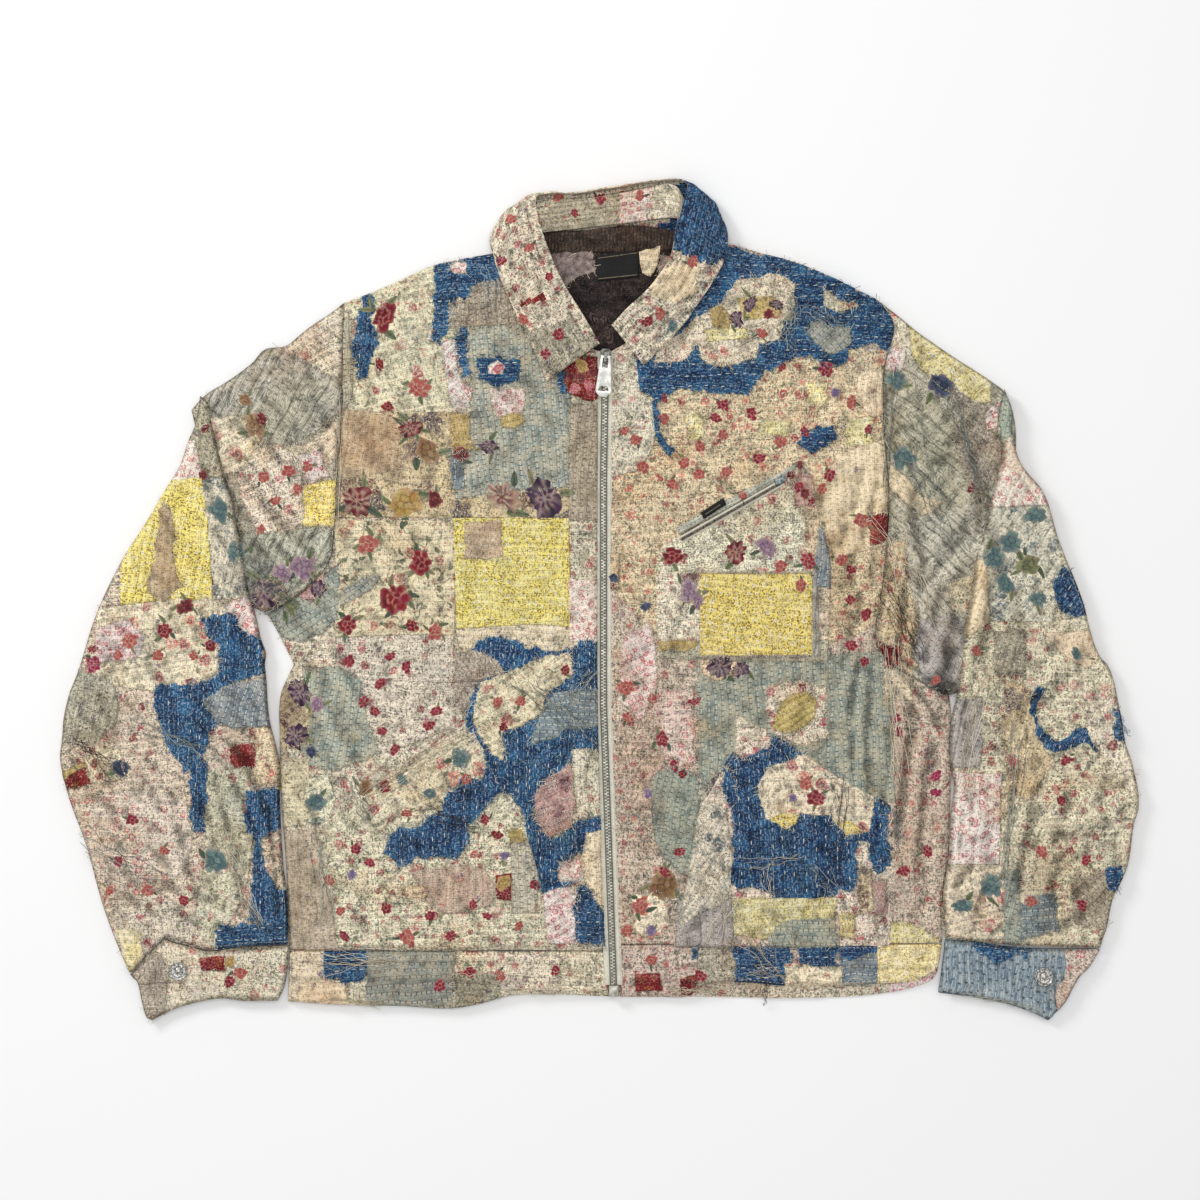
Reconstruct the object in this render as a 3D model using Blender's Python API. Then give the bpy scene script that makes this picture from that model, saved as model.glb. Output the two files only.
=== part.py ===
# Patched work jacket, laid flat on its back with the front zip closed.
# Lengths in the tables are millimetres. Seen from above, X runs across the jacket from
# the sleeve on the left to the one on the right, Y runs from hem to collar, Z is up.
# In names, left and right are those of this view.
# The origin is on the resting surface, under the middle of the whole outline.

import math

import bmesh
import bpy
from mathutils import Matrix, Vector

MM = 0.001

CLOTH = 2.0            # thickness of a main panel
TRIM = 1.2             # thickness of a piece laid on a panel
LINING = 1.0           # thickness of the lining and the neck label
BAND_WALL = 3.2        # thickness of the doubled waistband over the fronts
STAND_WALL = 1.4       # thickness of the collar stand
SEAM = 0.3             # clearance between neighbouring pieces
SIDE_GAP = 1.2         # clearance between the body and a sleeve beside it
CROWN = 2.4            # how far the fronts rise towards the middle
CROWN_REACH = 200.0    # distance from a side edge to the full crown
NECK_LIFT = 3.4        # the back neck lies on the folded collar
LIFT_START = 258.0     # where the back starts to rise towards the neck
LIFT_END = 282.0
ZIP_HALF = 5.5         # half the gap between the front edges
FRONT_BAND = 25.0      # width of the band beside the zip
PANEL_COLUMNS = 8
HALVINGS = 30          # steps of the search along the curved armhole
LEAF_STEPS = 6         # facets across the collar leaf
STAND_STEPS = 2        # facets across the collar stand
CAP_STEPS = 4          # facets round a folded sleeve edge
SLEEVE_SLIT = 1.8      # free height between the two walls of a flat sleeve
TACK_RADIUS = 8.2
TAPE_LOW = CLOTH + 3.0                  # underside of the front zip's tapes
TEETH_REACH = 2.7                       # width of each row of closed teeth
BOX_HALF = 4.2                          # half the width of the zip's bottom box
ZIP_TOP = TAPE_LOW + 3.4                # top of its closed teeth
PLATE_TOP = ZIP_TOP + SEAM + 1.6        # top of its slider's plate
SLIDER_Y = 213.0
SLIDER_WIDTH = 9.4
HINGE_Y = 211.5
HINGE_Z = PLATE_TOP + 1.7
PULL_LENGTH = 36.0
PULL_THICK = 1.6
PULL_TURN = math.radians(-4.0)          # the tab lies a little askew on the zip
PULL_DROP = math.radians(3.5)           # and its tip lies low over the teeth

# Side edges of the body from the waistband up to the armpits.
BODY_COLUMNS = ("y", "left", "right")
BODY_ROWS = (
    (-302, -269, 296),
    (-264, -269, 298),
    (-225, -271, 300),
    (-186, -273, 303),
    (-151, -275, 303),
    (-121, -278, 304),
    (-88, -278, 303),
    (-55, -268, 303),
    (-10, -285, 303),
)

# Shoulder line, from the armhole to the neck.
SHOULDER_COLUMNS = ("y", "left", "right")
SHOULDER_ROWS = (
    (259, -221, 243),
    (267, -201, 229),
    (282, -165, 199),
    (291, -144, 176),
    (302, -91, 138),
    (310, -70, 108),
    (316, -58, 86),
)

# Neck edge of each front panel.
NECK_COLUMNS = ("y", "left", "right")
NECK_ROWS = (
    (215, -4, 14),
    (227, -22, 29),
    (244, -41, 50),
    (259, -51, 64),
    (282, -65, 82),
    (291, -71, 89),
    (302, -78, 97),
)

ZIP_COLUMNS = ("y", "x")
ZIP_ROWS = ((-342, 12), (-90, 3), (105, 3), (218, 5))

# Sleeve sections from armhole to cuff. Each is a line across the flat sleeve from its
# outer to its inner edge, bent by the offset of its middle control point. The third and
# fourth sections are the pleat where the lower sleeve lies over the upper one.
SLEEVE_COLUMNS = ("outer_x", "outer_y", "inner_x", "inner_y", "bend_x", "bend_y", "height")
SLEEVE_LEFT_ROWS = (
    (-222, 258, -287, -10, 32, -87, 6.6),
    (-250, 238, -291, -10, 21, -52, 6.8),
    (-292, 217, -297, -8, 9, -24, 7.0),
    (-343, 178, -301, -5, 0, 0, 7.0),
    (-346, 175, -304, -7, 0, 0, 12.5),
    (-365, 119, -300, -18, 0, 0, 12.0),
    (-393, 70, -296, -32, 0, 0, 11.0),
    (-417, 32, -291, -50, 0, 0, 10.2),
    (-438, -13, -290, -70, 0, 0, 9.6),
    (-455, -63, -287, -98, 0, 0, 9.2),
    (-466, -103, -283, -125, 0, 0, 9.0),
    (-468, -136, -280, -153, 0, 0, 8.8),
    (-460, -177, -278, -186, 0, 0, 8.6),
    (-447, -212, -275, -224, 0, 0, 8.4),
    (-431, -264, -273, -262, 0, 0, 8.2),
    (-408, -319, -272, -297, -7, 14, 8.0),
)
SLEEVE_RIGHT_ROWS = (
    (244, 259, 305, -81, -26, -87, 6.6),
    (274, 235, 309, -77, -19, -52, 6.8),
    (309, 211, 313, -70, -7, -23, 7.0),
    (346, 176, 317, -60, 0, 0, 7.0),
    (351, 173, 320, -61, 0, 0, 12.5),
    (365, 120, 314, -79, 0, 0, 12.0),
    (398, 54, 311, -99, 0, 0, 11.0),
    (426, -21, 308, -121, 0, 0, 10.2),
    (452, -98, 307, -147, 0, 0, 9.6),
    (464, -144, 307, -174, 0, 0, 9.2),
    (468, -178, 307, -199, 0, 0, 9.0),
    (458, -224, 305, -228, 0, 0, 8.8),
    (445, -262, 303, -259, 0, 0, 8.4),
    (434, -301, 301, -292, 0, 0, 8.0),
)
CUFF_LEFT_ROWS = (
    (-409, -320, -272, -298.5, -7, 14, 7.0),
    (-403, -340, -273, -321, 0, 3, 7.4),
    (-390, -366, -279, -346, -7, 5, 7.0),
)
CUFF_RIGHT_ROWS = (
    (433.5, -303, 301, -294, 0, 0, 7.0),
    (416, -333, 298, -317, 0, 0, 7.4),
    (390, -366, 294, -340, 0, 7, 7.0),
)

# Collar stand: the seam line at the neck and the line just under the roll, all round.
STAND_COLUMNS = ("base_x", "base_y", "base_z", "top_x", "top_y", "top_z")
STAND_ROWS = (
    (-12, 222, 9.5, -4, 226, 10.0),
    (-48, 262, 9.5, -35, 272, 13.5),
    (-70, 290, 12.0, -46, 302, 15.0),
    (-75, 306, 12.0, -52, 319, 15.0),
    (-64, 318, 9.0, -57, 340, 14.0),
    (-46, 320, 8.4, -45, 347, 12.0),
    (-10, 324, 8.4, -10, 349, 11.5),
    (32, 329, 8.4, 32, 356, 11.5),
    (64, 332, 8.4, 60, 361, 12.0),
    (86, 322, 9.0, 70, 352, 14.0),
    (96, 303, 12.0, 66, 328, 15.0),
    (82, 278, 12.0, 60, 296, 15.0),
    (58, 252, 9.8, 43, 269, 13.5),
    (24, 226, 9.8, 12, 240, 11.0),
)

# Collar leaf: its roll and its outer edge, all round from left point to right point.
LEAF_COLUMNS = ("roll_x", "roll_y", "roll_z", "turn_x", "turn_y", "turn_z", "edge_x", "edge_y", "edge_z")
LEAF_ROWS = (
    (0, 223, 13.0, -22, 208, 12.5, -46, 190, 9.4),
    (-14, 247, 15.0, -38, 232, 14.5, -57, 216, 9.4),
    (-32, 276, 17.0, -56, 265, 17.5, -73, 250, 9.4),
    (-44, 303, 18.5, -70, 296, 19.5, -86, 278, 11.8),
    (-50, 321, 18.5, -78, 318, 20.0, -92, 297, 11.8),
    (-55, 341, 17.5, -84, 338, 15.0, -95, 312, 6.0),
    (-54, 350, 16.0, -78, 350, 3.0, -88, 322, 1.1),
    (-44, 352, 14.0, -54, 359, -0.5, -64, 286, 1.1),
    (-10, 354, 13.6, -10, 362, -0.5, -12, 286, 1.1),
    (32, 361, 13.6, 32, 368, -0.5, 28, 286, 1.1),
    (62, 365, 14.0, 68, 371, -0.5, 70, 286, 1.1),
    (75, 361, 16.0, 96, 357, 3.0, 101, 330, 1.1),
    (73, 349, 17.5, 104, 342, 15.0, 110, 318, 6.0),
    (68, 329, 18.5, 98, 322, 20.0, 109, 300, 11.8),
    (61, 299, 18.5, 86, 294, 19.5, 99, 279, 11.8),
    (44, 273, 17.0, 64, 258, 17.5, 78, 248, 9.4),
    (24, 254, 15.0, 42, 238, 14.5, 57, 222, 9.4),
    (10, 239, 13.6, 24, 222, 12.5, 38, 204, 9.4),
)

# Pieces laid on the fronts: the left and the right end of each section, bottom up.
SECTION_COLUMNS = ("left_x", "left_y", "right_x", "right_y")
HAND_POCKET_LEFT_ROWS = (
    (-226, -300, -45, -300),
    (-231, -269, -49, -269),
    (-237, -236, -56, -235),
    (-242, -217, -61, -207),
    (-245, -206, -72, -178),
    (-247, -197, -106, -113),
)
HAND_POCKET_RIGHT_ROWS = (
    (66, -296, 252, -296),
    (72, -258, 257, -262),
    (79, -222, 258, -228),
    (88, -184, 256, -204),
    (104, -151, 253, -189),
    (132, -121, 251, -178),
)
CHEST_POCKET_ROWS = (
    (50, -50, 197, -53),
    (49, -17, 199, -20),
    (50, 24, 196, 40),
    (57, 62, 177, 127),
)
PATCH_POCKET_ROWS = (
    (86, -47, 188, -48),
    (86, 0, 187, 0),
    (86, 25, 186, 24),
)
CHEST_ZIP_ROWS = (
    (70, 50, 160, 101),
    (70, 56, 160, 107),
)
CHEST_WELT_ROWS = (
    (69, 57.2, 161, 108.6),
    (66, 63.5, 172, 120),
)
CHEST_LABEL_ROWS = (
    (90, 70.5, 110, 83),
    (87, 76.5, 107, 89),
)
NECK_LABEL_ROWS = (
    (-3, 278, 34, 279),
    (-3, 282, 34, 283),
    (-3, 299, 34, 304),
)
LINING_ROWS = (
    (-14, 218, 22, 218),
    (-30, 238, 38, 238),
    (-47, 258, 56, 258),
    (-60, 282, 72, 282),
    (-66, 302, 84, 302),
    (-56, 312, 82, 314),
)
BAND_BACK_ROWS = (
    (-269, -303.3, 296, -303.3),
    (-270, -326, 296, -320),
    (-268, -352, 295, -332),
)
# Each front waistband runs from its outer end to the zip; only the outer end is listed.
BAND_COLUMNS = ("outer_x", "outer_y", "inner_y")
BAND_LEFT_ROWS = ((-269, -349, -341), (-269, -326, -324), (-268, -303.3, -303.3))
BAND_RIGHT_ROWS = ((294, -329, -343), (295, -318, -324), (295, -303.3, -303.3))

COLOURS = {
    "floral": (0.55, 0.47, 0.34),
    "indigo": (0.03, 0.09, 0.23),
    "yellow": (0.66, 0.55, 0.20),
    "chambray": (0.30, 0.33, 0.33),
    "plum": (0.10, 0.06, 0.07),
    "label": (0.02, 0.02, 0.02),
    "tape": (0.36, 0.37, 0.31),
    "metal": (0.62, 0.62, 0.60),
}


def named(columns, rows):
    return [dict(zip(columns, row)) for row in rows]


def sections(rows):
    return named(SECTION_COLUMNS, rows)


def between(rows, key, column, value):
    """A column of a table at a value of its key column, along straight runs."""
    if value <= rows[0][key]:
        return rows[0][column]
    for low, high in zip(rows, rows[1:]):
        if value <= high[key]:
            share = (value - low[key]) / (high[key] - low[key])
            return low[column] + share * (high[column] - low[column])
    return rows[-1][column]


BODY = named(BODY_COLUMNS, BODY_ROWS)
SHOULDER = named(SHOULDER_COLUMNS, SHOULDER_ROWS)
NECK = named(NECK_COLUMNS, NECK_ROWS)
ZIP = named(ZIP_COLUMNS, ZIP_ROWS)
SLEEVES = {
    "left": named(SLEEVE_COLUMNS, SLEEVE_LEFT_ROWS),
    "right": named(SLEEVE_COLUMNS, SLEEVE_RIGHT_ROWS),
}


def bezier(start, control, end, share):
    rest = 1.0 - share
    return start * rest * rest + control * (2.0 * rest * share) + end * share * share


def section_line(row, share):
    """A point of the line across a sleeve section, from outer to inner edge."""
    outer = Vector((row["outer_x"], row["outer_y"]))
    inner = Vector((row["inner_x"], row["inner_y"]))
    control = (outer + inner) / 2.0 + Vector((row["bend_x"], row["bend_y"]))
    return bezier(outer, control, inner, share)


def armhole(side, y):
    """Where the armhole seam is at a height between shoulder and armpit."""
    row = SLEEVES[side][0]
    low, high = 0.0, 1.0
    for _ in range(HALVINGS):
        middle = (low + high) / 2.0
        if section_line(row, middle).y > y:
            low = middle
        else:
            high = middle
    return section_line(row, low).x


def body_edge(side, y):
    inward = 1.0 if side == "left" else -1.0
    armpit = SLEEVES[side][0]["inner_y"]
    shoulder = SLEEVES[side][0]["outer_y"]
    if y > shoulder:
        return between(SHOULDER, "y", side, y)
    if y > armpit:
        return armhole(side, y) + inward * SIDE_GAP
    return between(BODY, "y", side, y)


def zip_x(y):
    return between(ZIP, "y", "x", y)


def front_inner(side, y):
    """The centre or neck edge of a front panel."""
    if y > NECK[0]["y"]:
        return between(NECK, "y", side, y)
    return zip_x(y) + (-ZIP_HALF if side == "left" else ZIP_HALF)


def lift(y):
    return NECK_LIFT * min(1.0, max(0.0, (y - LIFT_START) / (LIFT_END - LIFT_START)))


def front_top(x, y):
    """Height of the outer face of the fronts."""
    reach = min(x - body_edge("left", y), body_edge("right", y) - x) / CROWN_REACH
    crown = CROWN * math.sin(math.pi / 2.0 * min(1.0, max(0.0, reach)))
    return 2.0 * CLOTH + SEAM + crown + lift(y)


def back_top(x, y):
    return CLOTH + lift(y)


def on_front(layer):
    """Heights of the lower and upper face of a piece lying on the fronts."""
    under = layer * (TRIM + SEAM) + SEAM
    return (lambda x, y: front_top(x, y) + under,
            lambda x, y: front_top(x, y) + under + TRIM)


def new_object(name, mesh, colour, metal=0.0, rough=0.9):
    thing = bpy.data.objects.new(name, mesh)
    bpy.context.scene.collection.objects.link(thing)
    material = bpy.data.materials.new(name + "_finish")
    material.use_nodes = True
    shader = material.node_tree.nodes["Principled BSDF"]
    shader.inputs["Base Color"].default_value = COLOURS[colour] + (1.0,)
    shader.inputs["Metallic"].default_value = metal
    shader.inputs["Roughness"].default_value = rough
    mesh.materials.append(material)
    return thing


def closed_mesh(name, points, faces):
    """A mesh from points in millimetres, every face turned outwards."""
    mesh = bpy.data.meshes.new(name)
    mesh.from_pydata([Vector(p) * MM for p in points], [], faces)
    work = bmesh.new()
    work.from_mesh(mesh)
    bmesh.ops.recalc_face_normals(work, faces=work.faces)
    bmesh.ops.triangulate(work, faces=[f for f in work.faces if len(f.verts) > 3], quad_method="FIXED")
    work.to_mesh(mesh)
    work.free()
    return mesh


def wall_between(name, over, under, colour):
    """A closed wall between two grids of points with the same rows and columns."""
    rows = len(over)
    columns = len(over[0])
    points = [p for row in over for p in row] + [p for row in under for p in row]
    second = rows * columns
    faces = []
    for j in range(rows - 1):
        for i in range(columns - 1):
            a = j * columns + i
            faces.append((a, a + 1, a + columns + 1, a + columns))
            faces.append((a + columns + second, a + columns + 1 + second, a + 1 + second, a + second))
    border = list(range(columns))
    border += [j * columns + columns - 1 for j in range(1, rows)]
    border += [(rows - 1) * columns + i for i in range(columns - 2, -1, -1)]
    border += [j * columns for j in range(rows - 2, 0, -1)]
    for a, b in zip(border, border[1:] + border[:1]):
        faces.append((b, a, a + second, b + second))
    return new_object(name, closed_mesh(name, points, faces), colour)


def laid_panel(name, rows, heights, colour, columns=PANEL_COLUMNS):
    """A flat piece from sections, each with a left and a right end."""
    under, over = heights
    plan = []
    for row in rows:
        left = Vector((row["left_x"], row["left_y"]))
        right = Vector((row["right_x"], row["right_y"]))
        plan.append([left.lerp(right, i / columns) for i in range(columns + 1)])
    top = [[(p.x, p.y, over(p.x, p.y)) for p in line] for line in plan]
    bottom = [[(p.x, p.y, under(p.x, p.y)) for p in line] for line in plan]
    return wall_between(name, top, bottom, colour)


def bent_wall(name, lines, thickness, colour):
    """A wall of even thickness on both sides of a grid of points."""
    over = []
    under = []
    last_row = len(lines) - 1
    last_column = len(lines[0]) - 1
    for j, line in enumerate(lines):
        over.append([])
        under.append([])
        for i, point in enumerate(line):
            along = lines[min(j + 1, last_row)][i] - lines[max(j - 1, 0)][i]
            across = line[min(i + 1, last_column)] - line[max(i - 1, 0)]
            normal = across.cross(along).normalized() * (thickness / 2.0)
            over[-1].append(point + normal)
            under[-1].append(point - normal)
    return wall_between(name, over, under, colour)


def flat_loop(row, inset, bottom, top):
    """One closed loop round a flattened tube: over the top, round, and back below."""
    radius = (top - bottom) / 2.0
    length = (section_line(row, 1.0) - section_line(row, 0.0)).length
    near = (inset + radius) / length
    steps = 7
    loop = []

    def point(share, reach, angle_z):
        base = section_line(row, share)
        ahead = section_line(row, min(1.0, share + 0.01)) - section_line(row, max(0.0, share - 0.01))
        spot = base + ahead.normalized() * reach
        return (spot.x, spot.y, angle_z)

    middle = (top + bottom) / 2.0
    for i in range(steps + 1):
        loop.append(point(near + (1.0 - 2.0 * near) * i / steps, 0.0, top))
    for k in range(1, CAP_STEPS):
        angle = math.pi / 2.0 - math.pi * k / CAP_STEPS
        loop.append(point(1.0 - near, radius * math.cos(angle), middle + radius * math.sin(angle)))
    for i in range(steps + 1):
        loop.append(point(1.0 - near - (1.0 - 2.0 * near) * i / steps, 0.0, bottom))
    for k in range(1, CAP_STEPS):
        angle = -math.pi / 2.0 - math.pi * k / CAP_STEPS
        loop.append(point(near, radius * math.cos(angle), middle + radius * math.sin(angle)))
    return loop


def flat_tube(name, rows, colour):
    """An open-ended tube lying flat, with a slit between its two walls."""
    rings = []
    for row in rows:
        outer = flat_loop(row, 0.0, 0.0, row["height"])
        inner = flat_loop(row, CLOTH, CLOTH, CLOTH + SLEEVE_SLIT)
        rings.append((outer, inner))
    count = len(rings[0][0])
    points = []
    for outer, inner in rings:
        points += outer + inner
    faces = []
    for j in range(len(rings) - 1):
        for i in range(count):
            k = (i + 1) % count
            a = j * 2 * count
            b = a + 2 * count
            faces.append((a + i, a + k, b + k, b + i))
            faces.append((b + count + i, b + count + k, a + count + k, a + count + i))
    last = (len(rings) - 1) * 2 * count
    for i in range(count):
        k = (i + 1) % count
        faces.append((k, i, count + i, count + k))
        faces.append((last + i, last + k, last + count + k, last + count + i))
    return new_object(name, closed_mesh(name, points, faces), colour)


def prism(name, outline, low, high, colour, metal=0.0, rough=0.9):
    """An upright prism on a plan outline."""
    count = len(outline)
    points = [(x, y, low) for x, y in outline] + [(x, y, high) for x, y in outline]
    faces = [tuple(range(count - 1, -1, -1)), tuple(range(count, 2 * count))]
    for i in range(count):
        k = (i + 1) % count
        faces.append((i, k, k + count, i + count))
    mesh = bpy.data.meshes.new(name)
    mesh.from_pydata([Vector(p) * MM for p in points], [], faces)
    return new_object(name, mesh, colour, metal, rough)


def combine(target, tool, operation):
    modifier = target.modifiers.new(operation.lower(), "BOOLEAN")
    modifier.operation = operation
    modifier.object = tool
    tool.hide_render = True
    tool.display_type = "WIRE"


PANEL_LEVELS = sorted({row["y"] for row in BODY} | {12, 40, 70, 100, 135, 175, 215, 227, 244, LIFT_START}
                      | {row["y"] for row in SHOULDER})


def make_back():
    rows = []
    for y in PANEL_LEVELS:
        rows.append(dict(left_x=body_edge("left", y), left_y=y, right_x=body_edge("right", y), right_y=y))
    laid_panel("back", rows, (lambda x, y: lift(y), back_top), "floral", columns=12)
    lining = sections(LINING_ROWS)
    laid_panel("back_lining", lining,
               (lambda x, y: back_top(x, y) + SEAM,
                lambda x, y: back_top(x, y) + SEAM + LINING),
               "plum", columns=4)
    label = sections(NECK_LABEL_ROWS)
    laid_panel("neck_label", label,
               (lambda x, y: back_top(x, y) + 2 * SEAM + LINING,
                lambda x, y: back_top(x, y) + 2 * (SEAM + LINING)),
               "label", columns=2)


def make_fronts():
    top_y = NECK[-1]["y"]
    for side in ("left", "right"):
        rows = []
        for y in [level for level in PANEL_LEVELS if level <= top_y]:
            outer = body_edge(side, y)
            inner = front_inner(side, y)
            if side == "left":
                rows.append(dict(left_x=outer, left_y=y, right_x=inner, right_y=y))
            else:
                rows.append(dict(left_x=inner, left_y=y, right_x=outer, right_y=y))
        laid_panel("front_" + side, rows, (lambda x, y: front_top(x, y) - CLOTH, front_top), "floral")
    band = []
    for y in (-302, -151, 12, 100, 175, 197):
        edge = zip_x(y) - ZIP_HALF
        band.append(dict(left_x=edge - FRONT_BAND, left_y=y, right_x=edge, right_y=y))
    laid_panel("front_band", band, on_front(0), "floral", columns=2)


def make_waistband():
    laid_panel("waistband_back", sections(BAND_BACK_ROWS)[::-1],
               (lambda x, y: 0.0, lambda x, y: CLOTH), "floral", columns=6)
    height = (lambda x, y: CLOTH + 2 * SEAM, lambda x, y: CLOTH + 2 * SEAM + BAND_WALL)
    for side, table, colour in (("left", BAND_LEFT_ROWS, "floral"), ("right", BAND_RIGHT_ROWS, "chambray")):
        rows = []
        for row in named(BAND_COLUMNS, table):
            inner_x = front_inner(side, row["inner_y"])
            ends = sorted([(row["outer_x"], row["outer_y"]), (inner_x, row["inner_y"])])
            rows.append(dict(zip(SECTION_COLUMNS, ends[0] + ends[1])))
        laid_panel("waistband_front_" + side, rows, height, colour, columns=5)


def make_sleeves():
    for side, cuff, colour in (("left", CUFF_LEFT_ROWS, "floral"), ("right", CUFF_RIGHT_ROWS, "chambray")):
        flat_tube("sleeve_" + side, SLEEVES[side], colour)
        flat_tube("cuff_" + side, named(SLEEVE_COLUMNS, cuff), colour)


def make_collar():
    stand = []
    for row in named(STAND_COLUMNS, STAND_ROWS):
        base = Vector((row["base_x"], row["base_y"], row["base_z"]))
        top = Vector((row["top_x"], row["top_y"], row["top_z"]))
        stand.append([base.lerp(top, i / STAND_STEPS) for i in range(STAND_STEPS + 1)])
    bent_wall("collar_stand", stand, STAND_WALL, "floral")
    leaf = []
    for row in named(LEAF_COLUMNS, LEAF_ROWS):
        roll = Vector((row["roll_x"], row["roll_y"], row["roll_z"]))
        turn = Vector((row["turn_x"], row["turn_y"], row["turn_z"]))
        edge = Vector((row["edge_x"], row["edge_y"], row["edge_z"]))
        leaf.append([bezier(roll, turn, edge, i / LEAF_STEPS) for i in range(LEAF_STEPS + 1)])
    bent_wall("collar_leaf", leaf, CLOTH, "floral")


def make_pockets():
    laid_panel("hand_pocket_left", sections(HAND_POCKET_LEFT_ROWS), on_front(0), "floral", columns=6)
    laid_panel("hand_pocket_right", sections(HAND_POCKET_RIGHT_ROWS), on_front(0), "indigo", columns=6)
    laid_panel("chest_pocket", sections(CHEST_POCKET_ROWS), on_front(0), "floral", columns=5)
    laid_panel("chest_patch_pocket", sections(PATCH_POCKET_ROWS), on_front(1), "yellow", columns=4)
    laid_panel("chest_zip", sections(CHEST_ZIP_ROWS), on_front(1), "metal", columns=4)
    laid_panel("chest_zip_welt", sections(CHEST_WELT_ROWS), on_front(1), "chambray", columns=4)
    laid_panel("chest_label", sections(CHEST_LABEL_ROWS), on_front(2), "label", columns=2)


def make_zip():
    levels = (-333, -200, -90, 12, 105, 212)
    for side, way in (("left", -1.0), ("right", 1.0)):
        rows = []
        teeth = []
        for y in levels:
            near = zip_x(y) + way * SEAM
            far = zip_x(y) + way * (ZIP_HALF - SEAM)
            mid = zip_x(y) + way * TEETH_REACH
            left, right = sorted((near, far))
            rows.append(dict(left_x=left, left_y=y, right_x=right, right_y=y))
            left, right = sorted((near, mid))
            teeth.append(dict(left_x=left, left_y=y, right_x=right, right_y=y))
        laid_panel("zip_tape_" + side, rows,
                   (lambda x, y: TAPE_LOW, lambda x, y: TAPE_LOW + TRIM), "tape", columns=1)
        laid_panel("zip_teeth_" + side, teeth,
                   (lambda x, y: TAPE_LOW + TRIM + SEAM, lambda x, y: ZIP_TOP), "metal", columns=1)
    foot = zip_x(-338)
    left, right = foot - BOX_HALF, foot + BOX_HALF
    prism("zip_box", [(left, -343), (right, -343), (right, -333.4), (left, -333.4)],
          TAPE_LOW, TAPE_LOW + 4.0, "metal", 1.0, 0.35)


def make_slider():
    """The slider's plate, with a bent strap over it whose tunnel holds the pull's bar."""
    centre = zip_x(SLIDER_Y)
    half = SLIDER_WIDTH / 2.0
    outline = [(centre - half + 1.2, SLIDER_Y - 6.5), (centre + half - 1.2, SLIDER_Y - 6.5),
               (centre + half, SLIDER_Y - 3.0), (centre + half, SLIDER_Y + 3.5),
               (centre + half - 2.0, SLIDER_Y + 6.0), (centre - half + 2.0, SLIDER_Y + 6.0),
               (centre - half, SLIDER_Y + 3.5), (centre - half, SLIDER_Y - 3.0)]
    slider = prism("zip_slider", outline, ZIP_TOP + SEAM, PLATE_TOP, "metal", 1.0, 0.35)
    sunk = PLATE_TOP - 0.5
    tunnel = PLATE_TOP + 3.4
    crown = tunnel + 1.3
    profile = [(5.5, sunk), (5.5, crown - 1.6), (4.2, crown),
               (-4.2, crown), (-5.5, crown - 1.6), (-5.5, sunk),
               (-4.0, sunk), (-4.0, tunnel - 0.9), (-3.2, tunnel),
               (3.2, tunnel), (4.0, tunnel - 0.9), (4.0, sunk)]
    width = 1.6
    count = len(profile)
    points = [(centre - width, HINGE_Y + y, z) for y, z in profile]
    points += [(centre + width, HINGE_Y + y, z) for y, z in profile]
    faces = [tuple(range(count - 1, -1, -1)), tuple(range(count, 2 * count))]
    for i in range(count):
        k = (i + 1) % count
        faces.append((i, k, k + count, i + count))
    bridge = new_object("bridge_tool", closed_mesh("bridge_tool", points, faces), "metal")
    combine(slider, bridge, "UNION")


def make_pull():
    """The pull tab swings on its top bar, whose middle is the hinge axis."""
    top, shoulder, low = 1.2, 4.3, 6.9
    tip = -PULL_LENGTH + top
    outline = [(-shoulder, top), (-shoulder, -1.0), (-low, tip + 5.5), (-low + 0.6, tip + 3.6), (-2.6, tip),
               (2.6, tip), (low - 0.6, tip + 3.6), (low, tip + 5.5), (shoulder, -1.0), (shoulder, top)]
    half = PULL_THICK / 2.0
    pull = prism("zip_pull", outline, -half, half, "metal", 1.0, 0.3)
    slot = prism("slot_tool", [(-2.4, -9.4), (2.4, -9.4), (2.4, -1.1), (-2.4, -1.1)], -3.0, 3.0, "metal")
    arch = [(-4.4, tip + 5.2), (4.4, tip + 5.2)]
    for k in range(7):
        angle = math.pi * k / 6.0
        arch.append((4.4 * math.cos(angle), tip + 6.2 + 3.6 * math.sin(angle)))
    hole = prism("hole_tool", arch, -3.0, 3.0, "metal")
    place = Matrix.Translation(Vector((zip_x(SLIDER_Y), HINGE_Y, HINGE_Z)) * MM)
    place = place @ Matrix.Rotation(PULL_TURN, 4, "Z") @ Matrix.Rotation(PULL_DROP, 4, "X")
    for thing in (pull, slot, hole):
        thing.matrix_world = place
    combine(pull, slot, "DIFFERENCE")
    combine(pull, hole, "DIFFERENCE")


def make_chest_slider():
    centre = Vector((156.0, 104.5))
    along = Vector((90.0, 51.0)).normalized()
    across = Vector((-along.y, along.x))
    ground = front_top(centre.x, centre.y) + 2 * (TRIM + SEAM) + SEAM + 0.2
    outline = []
    for reach, side in ((-5.0, -2.4), (5.0, -3.2), (6.0, 0.0), (5.0, 3.2), (-5.0, 2.4)):
        outline.append(tuple(centre + along * reach + across * side))
    prism("chest_zip_slider", outline, ground, ground + 3.0, "metal", 1.0, 0.35)


def make_buttons():
    for side, x, y in (("left", -366, -321), ("right", 385, -326)):
        low = 7.4 + SEAM
        outline = []
        for k in range(20):
            angle = 2.0 * math.pi * k / 20
            outline.append((x + TACK_RADIUS * math.cos(angle), y + TACK_RADIUS * math.sin(angle)))
        button = prism("cuff_button_" + side, outline, low, low + 3.0, "metal", 1.0, 0.4)
        bevel = button.modifiers.new("edge", "BEVEL")
        bevel.width = 0.9 * MM
        bevel.segments = 2


for old in list(bpy.data.objects):
    bpy.data.objects.remove(old)

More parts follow.
